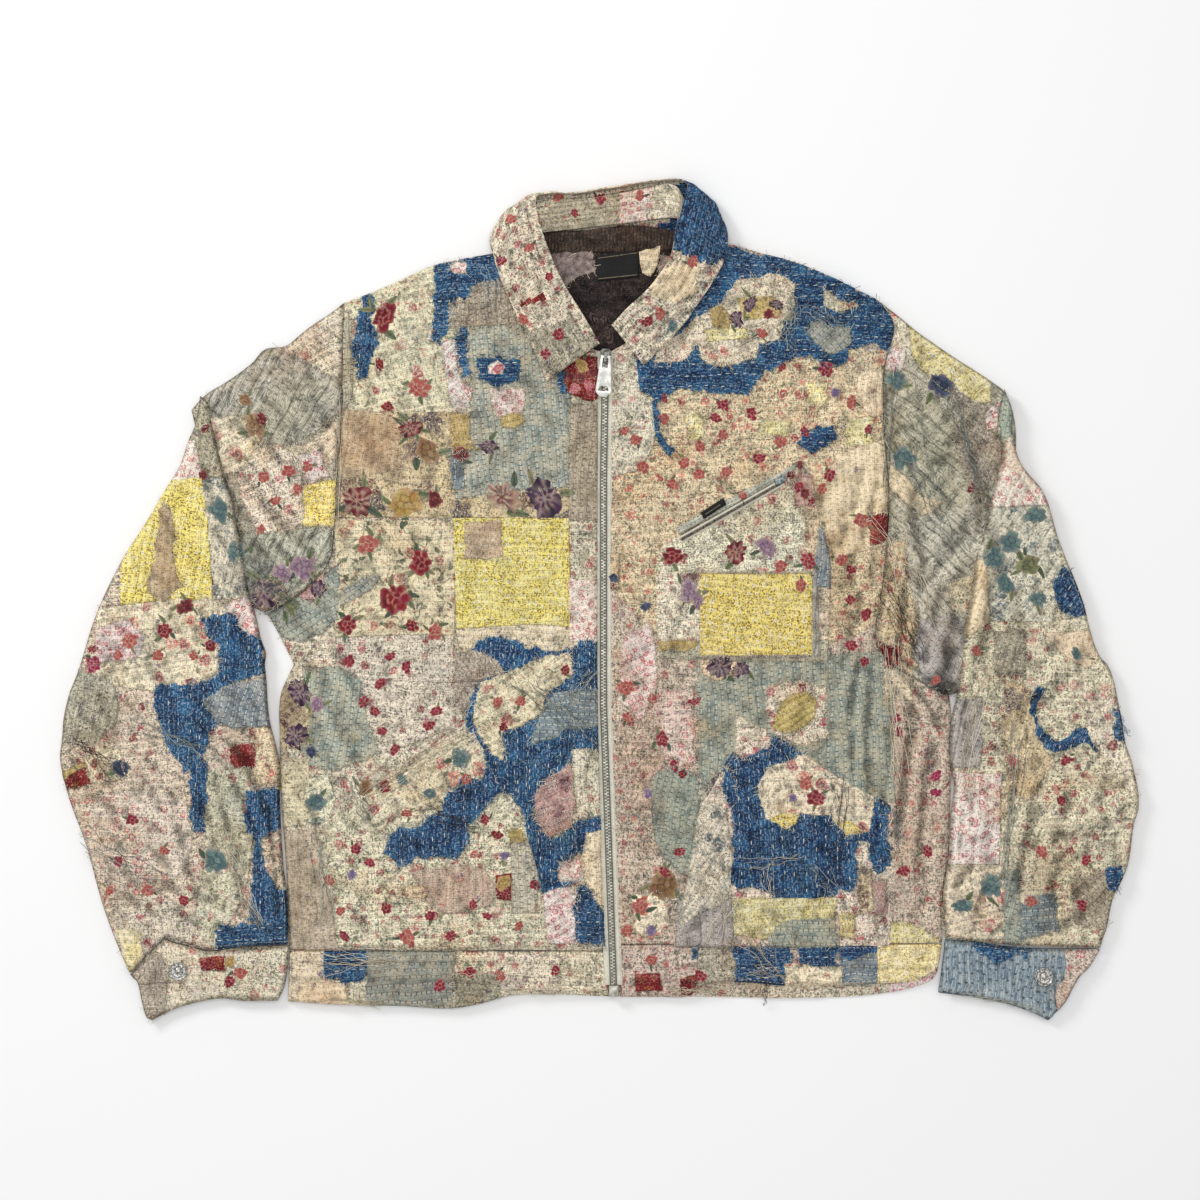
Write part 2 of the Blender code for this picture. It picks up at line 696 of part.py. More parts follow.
make_back()
make_fronts()
make_waistband()
make_sleeves()
make_collar()
make_pockets()
make_zip()
make_slider()
make_pull()
make_chest_slider()
make_buttons()
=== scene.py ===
import math
import random

import bmesh
import bpy
import numpy as np
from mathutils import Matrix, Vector, noise
from mathutils.bvhtree import BVHTree
from mathutils.geometry import delaunay_2d_cdt


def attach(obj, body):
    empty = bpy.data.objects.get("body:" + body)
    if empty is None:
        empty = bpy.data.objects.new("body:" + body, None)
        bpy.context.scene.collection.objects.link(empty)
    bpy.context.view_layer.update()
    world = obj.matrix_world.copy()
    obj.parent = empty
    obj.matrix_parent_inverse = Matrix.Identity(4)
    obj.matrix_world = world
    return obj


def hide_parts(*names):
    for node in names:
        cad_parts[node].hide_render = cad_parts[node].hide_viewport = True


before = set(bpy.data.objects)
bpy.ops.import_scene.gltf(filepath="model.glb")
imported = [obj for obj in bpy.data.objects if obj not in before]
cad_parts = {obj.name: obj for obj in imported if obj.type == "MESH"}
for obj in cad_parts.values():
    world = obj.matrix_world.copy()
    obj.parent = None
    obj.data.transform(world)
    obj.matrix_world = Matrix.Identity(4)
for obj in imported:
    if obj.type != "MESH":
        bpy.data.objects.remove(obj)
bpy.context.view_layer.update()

scene = bpy.context.scene
mm = 0.001                      # every table below is in millimetres
seamLow = 2.3                   # where the fronts and the back meet at a side seam
finished = {}                   # piece name -> object


# Plain tools for outlines, meshes and node trees

def paint(red, green, blue):
    # a screen colour, 0 to 255, as the linear colour a shader takes
    linear = [(c / 255.0 / 12.92) if c <= 10 else ((c / 255.0 + 0.055) / 1.055) ** 2.4
              for c in (red, green, blue)]
    return (*linear, 1.0)


def signedArea(path):
    x, y = path[:, 0], path[:, 1]
    return 0.5 * float(np.sum(x * np.roll(y, -1) - y * np.roll(x, -1)))


def between(first, second, leave, arrive, t):
    # a curve from one row of numbers to the next that leaves and arrives with the given slopes
    return (first * (2 * t**3 - 3 * t**2 + 1) + leave * (t**3 - 2 * t**2 + t)
            + second * (3 * t**2 - 2 * t**3) + arrive * (t**3 - t**2))


def outlinePath(points, ragged=0.0, seed=0, spacing=3.0, cornerDegrees=48.0):
    # a closed counter-clockwise path through the points, smooth except at sharp corners
    given = np.array(points, float)
    if signedArea(given) < 0.0:
        given = given[::-1]
    count = len(given)
    before = given - np.roll(given, 1, 0)
    after = np.roll(given, -1, 0) - given
    beforeUnit, afterUnit = (v / np.linalg.norm(v, axis=1)[:, None] for v in (before, after))
    turn = np.degrees(np.arccos(np.clip((beforeUnit * afterUnit).sum(1), -1, 1)))
    tangent = beforeUnit + afterUnit
    tangent /= np.maximum(np.linalg.norm(tangent, axis=1), 1e-6)[:, None]
    path = []
    for i in range(count):
        j = (i + 1) % count
        length = float(np.linalg.norm(after[i]))
        steps = max(1, int(round(length / spacing)))
        leave, arrive = (tangent[k] * length if turn[k] < cornerDegrees else after[i] for k in (i, j))
        path.append(between(given[i], given[j], leave, arrive, (np.arange(steps) / steps)[:, None]))
    path = np.concatenate(path)
    if ragged > 0.0:
        draw = np.random.default_rng(seed)
        step = np.roll(path, -1, 0) - np.roll(path, 1, 0)
        normal = (np.stack([step[:, 1], -step[:, 0]], 1)
                  / np.maximum(np.linalg.norm(step, axis=1), 1e-6)[:, None])
        count = len(path)
        slow = np.convolve(np.tile(draw.normal(0, 1, count), 3), np.ones(4) / 2.0, "same")[count:2 * count]
        path = path + normal * (ragged * (0.55 * slow + 0.45 * draw.normal(0, 1, count)))[:, None]
    return path


def sidesOf(path):
    # the sides of a closed path as rows of ax, ay, bx, by
    return np.concatenate([path, np.roll(path, -1, 0)], 1)


def insidePath(path, x, y):
    inside = np.zeros(len(x), bool)
    for ax, ay, bx, by in sidesOf(path):
        crosses = (ay > y) != (by > y)
        if crosses.any():
            inside ^= crosses & (x < (bx - ax) * (y - ay) / ((by - ay) or 1e-9) + ax)
    return inside


def distanceTo(segments, x, y):
    # shortest distance from each point to any of the segments (ax, ay, bx, by)
    best = np.full(len(x), 1e9)
    for ax, ay, bx, by in segments:
        dx, dy = bx - ax, by - ay
        t = np.clip(((x - ax) * dx + (y - ay) * dy) / max(dx * dx + dy * dy, 1e-9), 0.0, 1.0)
        best = np.minimum(best, np.hypot(x - ax - t * dx, y - ay - t * dy))
    return best


def ripples(seed, x, y, parts):
    # crumpling as a sum of short warped waves; parts are (height, wavelength, count, direction or None)
    draw = np.random.default_rng(seed)
    total = np.zeros(len(x))
    for height, wavelength, count, heading in parts:
        for _ in range(count):
            angle = (draw.uniform(0, math.pi) if heading is None
                     else math.radians(heading) + draw.normal(0, 0.35))
            k = 2 * math.pi / (wavelength * draw.uniform(0.75, 1.35))
            phase = draw.uniform(0, 6.28)
            along = x * math.cos(angle) + y * math.sin(angle)
            across = y * math.cos(angle) - x * math.sin(angle)
            warp = 1.3 * np.sin(across * k * 0.37 + phase * 2.1) + 0.8 * np.sin(across * k * 0.83 + phase)
            swell = 0.6 + 0.4 * np.sin(across * k * 0.29 + along * k * 0.17 + phase * 1.7)
            total += height / math.sqrt(count) * np.sin(along * k + warp + phase) * swell
    return total


def creaseHeight(creases, x, y):
    # listed folds: x0, y0, x1, y1, sideways bow, half width, height
    total = np.zeros(len(x))
    for x0, y0, x1, y1, bow, width, height in creases:
        dx, dy = x1 - x0, y1 - y0
        length = math.hypot(dx, dy)
        t = ((x - x0) * dx + (y - y0) * dy) / length**2
        arch = np.sin(np.pi * np.clip(t, 0, 1))
        side = ((x - x0) * -dy + (y - y0) * dx) / length - bow * arch
        ridge = np.exp(-(side / width) ** 2) - 0.55 * np.exp(-((side - 1.9 * width) / (1.2 * width)) ** 2)
        total += height * arch**0.6 * ridge * ((t > 0) & (t < 1))
    return total


def addNode(tree, kind, given=None, **settings):
    # a new node with its settings and what goes into its sockets; gives back its outputs
    made = tree.nodes.new(kind)
    made.location = (210 * (len(tree.nodes) % 12), -230 * (len(tree.nodes) // 12))
    for key, value in settings.items():
        setattr(made, key, value)
    for key, value in (given or {}).items():
        if isinstance(value, bpy.types.NodeSocket):
            tree.links.new(value, made.inputs[key])
        else:
            made.inputs[key].default_value = value
    return made.outputs


def addBeside(kind, given, **settings):
    # a node in the same tree as the first socket that goes into it
    tree = next(v.id_data for v in given.values() if isinstance(v, bpy.types.NodeSocket))
    return addNode(tree, kind, given, **settings)


def calc(operation, *terms):
    return addBeside("ShaderNodeMath", dict(enumerate((*terms, 0.0, 0.0)[:3])), operation=operation)[0]


def times(a, b):
    return calc("MULTIPLY", a, b)


def plus(a, b):
    return calc("ADD", a, b)


def minus(a, b):
    return calc("SUBTRACT", a, b)


def timesPlus(a, b, c):
    return calc("MULTIPLY_ADD", a, b, c)


def spread(value, low, high, toLow=0.0, toHigh=1.0):
    return addBeside("ShaderNodeMapRange", {"Value": value, "From Min": low, "From Max": high,
                                            "To Min": toLow, "To Max": toHigh})[0]


def blend(share, first, second, mode="MIX"):
    return addBeside("ShaderNodeMix", {0: share, 6: first, 7: second}, data_type="RGBA", blend_type=mode)[2]


def stretched(place, factors):
    return addBeside("ShaderNodeVectorMath", {0: place, 1: factors}, operation="MULTIPLY")[0]


def noiseAt(place, scale, detail, dimensions="2D", **more):
    return addBeside("ShaderNodeTexNoise", {"Vector": place, "Scale": scale, "Detail": detail, **more},
                     noise_dimensions=dimensions)[0]


def greyOf(tone):
    return addBeside("ShaderNodeCombineColor", {0: tone, 1: tone, 2: tone})[0]


def newGroup(name, inputs, outputs, kind="ShaderNodeTree"):
    # inputs are plain numbers, or the kind of socket
    tree = bpy.data.node_groups.new(name, kind)
    for label, value in inputs.items():
        made = tree.interface.new_socket(name=label, in_out="INPUT",
                                         socket_type=value if isinstance(value, str) else number)
        if not isinstance(value, str):
            made.default_value = value
    for label, socket in outputs.items():
        tree.interface.new_socket(name=label, in_out="OUTPUT", socket_type=socket)
    return tree, tree.nodes.new("NodeGroupInput").outputs, tree.nodes.new("NodeGroupOutput").inputs


def useGroup(tree, name, given):
    return addNode(tree, "ShaderNodeGroup", given, node_tree=bpy.data.node_groups[name])


def newMaterial(name, roughness, specular=None):
    material = bpy.data.materials.new(name)
    material.use_nodes = True
    shader = material.node_tree.nodes["Principled BSDF"].inputs
    shader["Roughness"].default_value = roughness
    if specular is not None:
        shader["Specular IOR Level"].default_value = specular
    return material, material.node_tree, shader


def addBump(tree, shader, height, distance, strength):
    bump = addNode(tree, "ShaderNodeBump",
                   {"Height": height, "Distance": distance * mm, "Strength": strength})
    tree.links.new(bump[0], shader["Normal"])


def addObject(name, data):
    thing = bpy.data.objects.new(name, data)
    scene.collection.objects.link(thing)
    return thing


# Printed and woven effects, shared by the cloth materials

number, colour, vector = "NodeSocketFloat", "NodeSocketColor", "NodeSocketVector"


def cellsAt(place, scale, randomness=0.9):
    # scattered cells: distance to the middle, offset from it, and three random numbers
    cell = addBeside("ShaderNodeTexVoronoi", {"Vector": place, "Scale": scale, "Randomness": randomness},
                     voronoi_dimensions="2D", feature="F1")
    offset = addBeside("ShaderNodeVectorMath", {0: place, 1: cell["Position"]}, operation="SUBTRACT")[0]
    return (cell["Distance"], addBeside("ShaderNodeSeparateXYZ", {0: offset}),
            addBeside("ShaderNodeSeparateColor", {0: cell["Color"]}))


def placedAt(given):
    # cloth coordinates in units of the pattern's size, shifted by the seed
    inverse = calc("DIVIDE", 1.0, given["Size"])
    scaled = addBeside("ShaderNodeVectorMath", {0: given["Vector"], 3: inverse}, operation="SCALE")[0]
    shift = addBeside("ShaderNodeCombineXYZ", {0: given["Seed"], 1: times(given["Seed"], 1.7)})[0]
    return addBeside("ShaderNodeVectorMath", {0: scaled, 1: shift}, operation="ADD")[0]


def makeFlowerPrint():
    # little roses, leaves and specks, printed softly on the ground
    tree, given, result = newGroup("smallFlowers", {
        "Vector": vector, "Size": 0.01, "Seed": 0.0, "Ground": colour, "Bloom A": colour, "Bloom B": colour,
        "Leaf": colour,
        "Stem": colour, "Bloom Share": 0.4, "Leaf Share": 0.6, "Strength": 0.7}, {"Color": colour})
    place = placedAt(given)
    strength = given["Strength"]
    distance, offset, chance = cellsAt(place, 2.3)
    angle = times(chance[0], 6.28)
    sine, cosine = calc("SINE", angle), calc("COSINE", angle)
    along = plus(times(offset[0], cosine), times(offset[1], sine))
    across = minus(times(offset[1], cosine), times(offset[0], sine))
    bent = timesPlus(times(along, along), 2.2, across)
    reach = plus(calc("POWER", times(along, 4.6), 2.0),
                 calc("POWER", times(bent, timesPlus(chance[2], 8.0, 7.5)), 2.0))
    leaf = times(spread(reach, 0.75, 1.1, 1.0, 0.0), calc("LESS_THAN", chance[1], given["Leaf Share"]))
    speck = times(spread(distance, 0.1, 0.14, 1.0, 0.0), calc("GREATER_THAN", chance[1], 0.76))
    tone = blend(chance[2], given["Leaf"], given["Stem"])
    line = spread(calc("ABSOLUTE", minus(noiseAt(place, 1.3, 1.0), 0.5)), 0.01, 0.026, 0.75, 0.0)
    shown = blend(times(line, strength), given["Ground"], given["Stem"])
    shown = blend(times(leaf, strength), shown, tone)
    shown = blend(times(speck, strength), shown, given["Bloom B"])
    distance, offset, chance = cellsAt(place, 1.0, 0.85)
    around = timesPlus(chance[0], 6.28, calc("ARCTAN2", offset[1], offset[0]))
    lobes = calc("COSINE", times(around, 3.0))
    depth = calc("DIVIDE", distance, times(timesPlus(lobes, 0.035, 0.27), timesPlus(chance[1], 0.6, 0.6)))
    bloom = times(spread(depth, 0.9, 1.05, 1.0, 0.0), calc("LESS_THAN", chance[2], given["Bloom Share"]))
    curl = calc("SINE", timesPlus(depth, 7.5, times(around, 2.0)))
    petal = blend(spread(chance[0], 0.55, 0.6), given["Bloom A"], given["Bloom B"])
    petal = blend(spread(curl, 0.1, 0.8, 0.0, 0.6), petal, given["Ground"])
    petal = blend(spread(depth, 0.2, 0.7, 0.6, 0.0), petal, (0.28, 0.2, 0.2, 1.0), "MULTIPLY")
    tree.links.new(blend(times(bloom, 0.92), shown, petal), result[0])


def makeRingPrint():
    tree, given, result = newGroup("ringBlossoms", {
        "Vector": vector, "Size": 0.009, "Seed": 0.0, "Ground": colour, "Ring": colour, "Share": 0.6},
                                   {"Color": colour})
    distance, offset, chance = cellsAt(placedAt(given), 1.0)
    petals = calc("COSINE", times(calc("ARCTAN2", offset[1], offset[0]), 5.0))
    edge = calc("ABSOLUTE", minus(distance, timesPlus(petals, 0.03, timesPlus(chance[0], 0.1, 0.18))))
    there = calc("LESS_THAN", chance[2], given["Share"])
    ring = calc("MAXIMUM", spread(edge, 0.045, 0.1, 1.0, 0.0), spread(distance, 0.04, 0.08, 0.7, 0.0))
    tree.links.new(blend(times(times(ring, there), 0.85), given["Ground"], given["Ring"]), result[0])


def makeInkPrint():
    # big line-drawn flowers with dark filled petals
    tree, given, result = newGroup("inkFlowers", {
        "Vector": vector, "Size": 0.03, "Seed": 0.0, "Ground": colour, "Line": colour, "Fill A": colour,
        "Fill B": colour,
        "Share": 0.5}, {"Color": colour})
    distance, offset, chance = cellsAt(placedAt(given), 1.0)
    petals = calc("COSINE", timesPlus(calc("ARCTAN2", offset[1], offset[0]), 6.0, times(chance[0], 6.28)))
    depth = timesPlus(petals, 0.07, distance)
    there = times(spread(depth, 0.4, 0.44, 1.0, 0.0), calc("LESS_THAN", chance[2], given["Share"]))
    waves = calc("SINE", times(depth, 48.0))
    fill = blend(spread(chance[1], 0.4, 0.6), given["Fill A"], given["Fill B"])
    fill = blend(spread(petals, -0.2, 0.7, 0.2, 0.85), fill, given["Ground"])
    flower = blend(spread(waves, 0.1, 0.6), fill, given["Line"])
    tree.links.new(blend(there, given["Ground"], flower), result[0])


def makeWornCloth():
    # washed-out places, and the lighter and darker flecks of old cotton
    tree, given, result = newGroup("wornCloth", {
        "Vector": vector, "Color": colour, "Fade": 0.3, "Faded": colour, "Wear": 0.0, "Fleck": 0.3},
                                   {"Color": colour})
    worn = spread(noiseAt(given["Vector"], 70.0, 3.0, Roughness=0.75), 0.38, 0.66, 0.0, 1.0)
    share = plus(times(worn, given["Fade"]), times(given["Wear"], timesPlus(worn, 0.7, 0.45)))
    shown = blend(share, given["Color"], given["Faded"])
    fine = noiseAt(given["Vector"], 560.0, 1.5, Roughness=0.7)
    shown = blend(times(spread(fine, 0.54, 0.74), given["Fleck"]), shown, (0.97, 0.92, 0.82, 1.0))
    shown = blend(times(spread(fine, 0.46, 0.28), given["Fleck"]), shown, (0.11, 0.09, 0.08, 1.0))
    tree.links.new(shown, result[0])


def makeQuiltRows():
    # rows of running stitches: where the thread shows, and how the cloth puckers round it
    tree, given, result = newGroup("quiltRows",
                                   {"Vector": vector, "Pitch": 0.007, "Stitch": 0.006, "Share": 0.8},
                                   {"Thread": number, "Height": number})
    parts = addBeside("ShaderNodeSeparateXYZ", {0: given["Vector"]})
    row = calc("DIVIDE", parts[1], given["Pitch"])
    chance = calc("FRACT", times(calc("SINE", times(calc("FLOOR", row), 12.9898)), 43.758))
    aside = calc("ABSOLUTE", minus(calc("FRACT", row), 0.5))
    along = calc("FRACT", plus(calc("DIVIDE", parts[0], given["Stitch"]), chance))
    onTop = minus(1.0, spread(calc("ABSOLUTE", minus(along, 0.5)), 0.38, 0.45))
    thread = times(spread(aside, 0.06, 0.12, 1.0, 0.0), onTop)
    thread = times(thread, calc("LESS_THAN", chance, given["Share"]))
    puff = spread(aside, 0.0, 0.42, 0.0, 1.0)
    dip = times(minus(1.0, puff), minus(1.0, onTop))
    tree.links.new(thread, result[0])
    tree.links.new(plus(timesPlus(dip, -0.5, puff), times(thread, 0.5)), result[1])


def makeWeave():
    # crossed threads, as a height
    tree, given, result = newGroup("plainWeave", {"Vector": vector, "Thread": 0.0007}, {"Height": number})
    inverse = calc("DIVIDE", 3.1416, given["Thread"])
    parts = addBeside("ShaderNodeSeparateXYZ", {0: given["Vector"]})
    warp, weft = (calc("SINE", times(parts[k], inverse)) for k in (0, 1))
    tree.links.new(timesPlus(plus(warp, weft), 0.25, 0.5), result[0])


for makeGroup in (makeFlowerPrint, makeRingPrint, makeInkPrint, makeWornCloth, makeQuiltRows, makeWeave):
    makeGroup()
print("shared shader groups are ready")

cream, crimson, roseRed, coral = (244, 231, 203), (160, 26, 46), (188, 58, 78), (216, 104, 94)
mauve, violet, leafGreen, leafGrey = (116, 88, 118), (86, 70, 112), (86, 92, 60), (104, 108, 92)
stemDark, inkPurple, burgundy, tealDark = (78, 62, 60), (44, 26, 44), (112, 30, 42), (58, 88, 96)


def flowers(size, bloomA, bloomB, leaf, stem, bloomShare=0.4, leafShare=0.6, strength=0.7, seed=0.0):
    return ("smallFlowers",
            {"Size": size * mm, "Bloom A": paint(*bloomA), "Bloom B": paint(*bloomB), "Leaf": paint(*leaf),
             "Stem": paint(*stem), "Bloom Share": bloomShare, "Leaf Share": leafShare,
             "Strength": strength,
             "Seed": seed})


def rings(size, ring, share, seed=0.0):
    return ("ringBlossoms", {"Size": size * mm, "Ring": paint(*ring), "Share": share, "Seed": seed})


def ink(size, line, fillA, fillB, share, seed=0.0):
    return ("inkFlowers",
            {"Size": size * mm, "Line": paint(*line), "Fill A": paint(*fillA), "Fill B": paint(*fillB),
             "Share": share, "Seed": seed})


def cloth(ground, faded, fade, fleck, *layers, pitch=6.2, stitch=4.6, share=0.75, show=0.16,
          thread=None, **more):
    # colours, how far it is faded and flecked, its printed layers, and its quilting in millimetres
    return dict(ground=ground, faded=faded, fade=fade, fleck=fleck, layers=layers, pitch=pitch, stitch=stitch,
                share=share,
                show=show, thread=thread or faded, **more)


fabrics = {
    "ditsy": cloth(
        cream, (226, 208, 184), 0.22, 0.5,
        flowers(6.0, roseRed, mauve, leafGreen, stemDark, 0.36, 0.62, 0.82),
        flowers(13, crimson, roseRed, leafGrey, leafGreen, 0.36, 0.35, 0.7, 4.0)),
    "ditsyPale": cloth(
        (247, 234, 200), (236, 224, 202), 0.24, 0.5,
        flowers(5.6, roseRed, mauve, leafGrey, stemDark, 0.32, 0.56, 0.8, 2.0),
        flowers(15, coral, crimson, leafGrey, leafGreen, 0.24, 0.3, 0.66, 9.0)),
    "ditsyPink": cloth(
        (238, 220, 196), (216, 192, 172), 0.24, 0.5,
        flowers(6.2, (190, 84, 98), mauve, leafGreen, stemDark, 0.38, 0.64, 0.8, 5.0),
        flowers(12, (176, 34, 60), coral, leafGreen, leafGrey, 0.42, 0.36, 0.7, 2.0)),
    "ditsyWarm": cloth(
        (240, 217, 178), (232, 206, 166), 0.22, 0.5,
        flowers(5.6, roseRed, coral, leafGreen, stemDark, 0.36, 0.66, 0.82, 3.0),
        flowers(12, (180, 34, 58), coral, leafGreen, leafGrey, 0.38, 0.36, 0.7, 6.0)),
    "ditsyGrey": cloth(
        (196, 186, 160), (158, 154, 134), 0.5, 0.55,
        flowers(7.5, leafGrey, mauve, leafGreen, stemDark, 0.4, 0.7, 0.8, 5.0)),
    "roseDitsy": cloth(
        (247, 234, 206), cream, 0.18, 0.5,
        flowers(5.4, mauve, violet, leafGreen, stemDark, 0.34, 0.66, 0.88, 1.0),
        flowers(15, crimson, (190, 52, 80), leafGreen, leafGrey, 0.5, 0.2, 0.6, 7.0)),
    "ring": cloth(
        (244, 226, 214), (238, 226, 212), 0.2, 0.5,
        flowers(6, coral, mauve, leafGrey, leafGrey, 0.12, 0.3, 0.7, 1.0),
        rings(7.2, (202, 52, 76), 0.9)),
    "ringDitsy": cloth(
        (234, 214, 196), (222, 204, 188), 0.3, 0.5,
        flowers(6.0, mauve, roseRed, leafGrey, stemDark, 0.34, 0.6, 0.82, 4.0),
        rings(9, (194, 56, 74), 0.45)),
    "dots": cloth((236, 216, 180), cream, 0.25, 0.5,
                  flowers(8, leafGrey, mauve, leafGrey, stemDark, 0.14, 0.3, 0.75, 8.0)),
    "yellow": cloth(
        (254, 232, 118), (252, 238, 170), 0.24, 0.3,
        flowers(6.2, (255, 250, 226), (254, 244, 206), (150, 118, 60), (128, 96, 56), 0.66, 0.8, 1.0, 2.0)),
    "straw": cloth(
        (246, 228, 156), (238, 226, 186), 0.4, 0.4,
        flowers(6.6, (255, 250, 230), (250, 240, 208), (160, 134, 80), (140, 112, 72), 0.6, 0.7, 0.9, 6.0)),
    "leafy": cloth(
        (249, 232, 198), (234, 224, 194), 0.22, 0.5,
        flowers(6.5, mauve, coral, leafGrey, leafGrey, 0.2, 0.34, 0.62, 3.0),
        flowers(21, roseRed, coral, (106, 104, 80), (84, 84, 68), 0.42, 0.5, 0.6, 5.0)),
    "bigRose": cloth(
        (247, 228, 192), (234, 220, 184), 0.26, 0.46,
        flowers(7, mauve, coral, leafGrey, leafGrey, 0.1, 0.26, 0.55, 1.0),
        flowers(19, (150, 28, 38), (206, 96, 88), (84, 92, 64), (66, 72, 54), 0.5, 0.46, 0.9, 8.0)),
    "ink": cloth(
        (234, 210, 168), (214, 190, 156), 0.3, 0.5,
        flowers(8, leafGrey, mauve, (116, 102, 58), stemDark, 0.15, 0.5, 0.8, 2.0),
        ink(25, inkPurple, burgundy, violet, 0.5)),
    "plumRose": cloth((186, 142, 134), (210, 180, 166), 0.3, 0.4,
                      ink(15, inkPurple, (150, 84, 100), (222, 200, 184), 0.85, 3.0)),
    "redGold": cloth((118, 14, 20), (170, 74, 66), 0.12, 0.24,
                     ink(8, (52, 12, 18), (186, 112, 44), (206, 130, 118), 0.5, 5.0)),
    "teal": cloth(
        (236, 227, 196), (214, 210, 188), 0.25, 0.5,
        flowers(7, leafGrey, tealDark, leafGrey, (78, 88, 82), 0.2, 0.6, 0.75, 1.0),
        flowers(24, tealDark, (70, 104, 112), (88, 108, 98), tealDark, 0.7, 0.4, 0.5, 3.0)),
    "indigo": cloth((2, 37, 82), (44, 104, 146), 0.3, 0.3, pitch=4.1, stitch=7.0, thread=(130, 168, 190),
                    share=0.8, streak=0.5,
                    show=0.5),
    "fadedDenim": cloth((98, 116, 128), (150, 156, 152), 0.6, 0.26, stitch=4.8, thread=(206, 210, 202),
                        share=1.0, streak=0.8,
                        ribs=1.0, show=0.6),
    "chambray": cloth((126, 142, 138), (184, 178, 154), 0.7, 0.26, pitch=6.4, stitch=4.8,
                      thread=(218, 214, 196), share=1.0,
                      streak=0.85, ribs=1.4, show=0.65),
    "brownTan": cloth((204, 178, 148), (212, 190, 150), 0.4, 0.3,
                      flowers(4.8, cream, cream, (150, 126, 84), (130, 106, 76), 0.4, 0.6, 0.6, 2.0)),
    "standRib": cloth((196, 182, 152), (176, 168, 146), 0.4, 0.4,
                      flowers(7, roseRed, mauve, leafGrey, stemDark, 0.16, 0.5, 0.7, 6.0),
                      ribs=1.1, pitch=4.4, show=0.3),
    "taupe": cloth((146, 132, 114), (184, 172, 150), 0.6, 0.5, pitch=5.8, stitch=5.0, thread=(212, 200, 178),
                   share=0.9,
                   streak=0.75, show=0.5),
    "greyGreen": cloth((128, 144, 136), (176, 176, 156), 0.6, 0.26, pitch=6.4, thread=(206, 206, 188),
                       share=1.0, streak=0.85,
                       ribs=1.3, show=0.6),
    "greyLilac": cloth((158, 151, 146), (186, 176, 166), 0.5, 0.26, pitch=5.8, stitch=5.0,
                       thread=(214, 208, 200), share=0.9,
                       streak=0.75, show=0.5),
    "olive": cloth((188, 164, 96), (206, 184, 128), 0.4, 0.4,
                   flowers(14, (150, 122, 60), (120, 96, 50), (150, 128, 70),
                           (110, 92, 56), 0.4, 0.5, 0.5, 3.0)),
    "tan": cloth((244, 222, 182), (240, 224, 194), 0.35, 0.34,
                 flowers(9, (200, 164, 112), mauve, (176, 156, 116), stemDark, 0.2, 0.3, 0.5, 4.0)),
    "wornStripe": cloth((172, 162, 142), (196, 186, 160), 0.5, 0.5, pitch=6.4, stitch=5.0,
                        thread=(226, 216, 192), share=1.0,
                        streak=0.85, ribs=1.3, show=0.7),
    "tangle": cloth((164, 165, 147), (192, 185, 162), 0.5, 0.4, pitch=7.0, stitch=5.0, thread=(196, 192, 172),
                    share=0.6,
                    streak=0.6, ribs=0.8, show=0.4, curls=(222, 216, 196)),
    "dustyPink": cloth((206, 186, 166), (214, 196, 178), 0.4, 0.5,
                       flowers(8, mauve, coral, leafGrey, stemDark, 0.15, 0.25, 0.5, 6.0)),
    "blackWeave": cloth((70, 70, 70), (150, 150, 140), 0.5, 0.8, pitch=5.0, stitch=4.0,
                        thread=(222, 220, 208), share=0.9,
                        streak=0.9, show=0.7),
    "greyRib": cloth((112, 134, 152), (182, 192, 196), 0.4, 0.3, pitch=5.4, stitch=9.0,
                     thread=(206, 214, 214), share=1.0,
                     streak=0.7, ribs=1.8, show=0.6),
    "weltRib": cloth((172, 178, 160), (208, 206, 188), 0.5, 0.26, pitch=3.4, stitch=4.0,
                     thread=(222, 220, 204), share=1.0,
                     streak=0.7, ribs=0.9, show=0.5),
    "plumLining": cloth((37, 28, 28), (66, 53, 49), 0.5, 0.06,
                        ink(34, (26, 18, 24), (62, 46, 54), (112, 92, 86), 0.4, 4.0),
                        show=0.05),
    "pinkLining": cloth((150, 132, 126), (176, 158, 148), 0.5, 0.1,
                        flowers(12, (92, 66, 72), (110, 84, 88), (96, 84, 80), (84, 70, 72), 0.5, 0.5, 0.7,
                                2.0), show=0.05),
    "neckRib": cloth((60, 47, 41), (84, 68, 58), 0.4, 0.08, pitch=3.2, stitch=60.0, thread=(34, 27, 24),
                     share=1.0, ribs=1.4,
                     show=0.5),
}


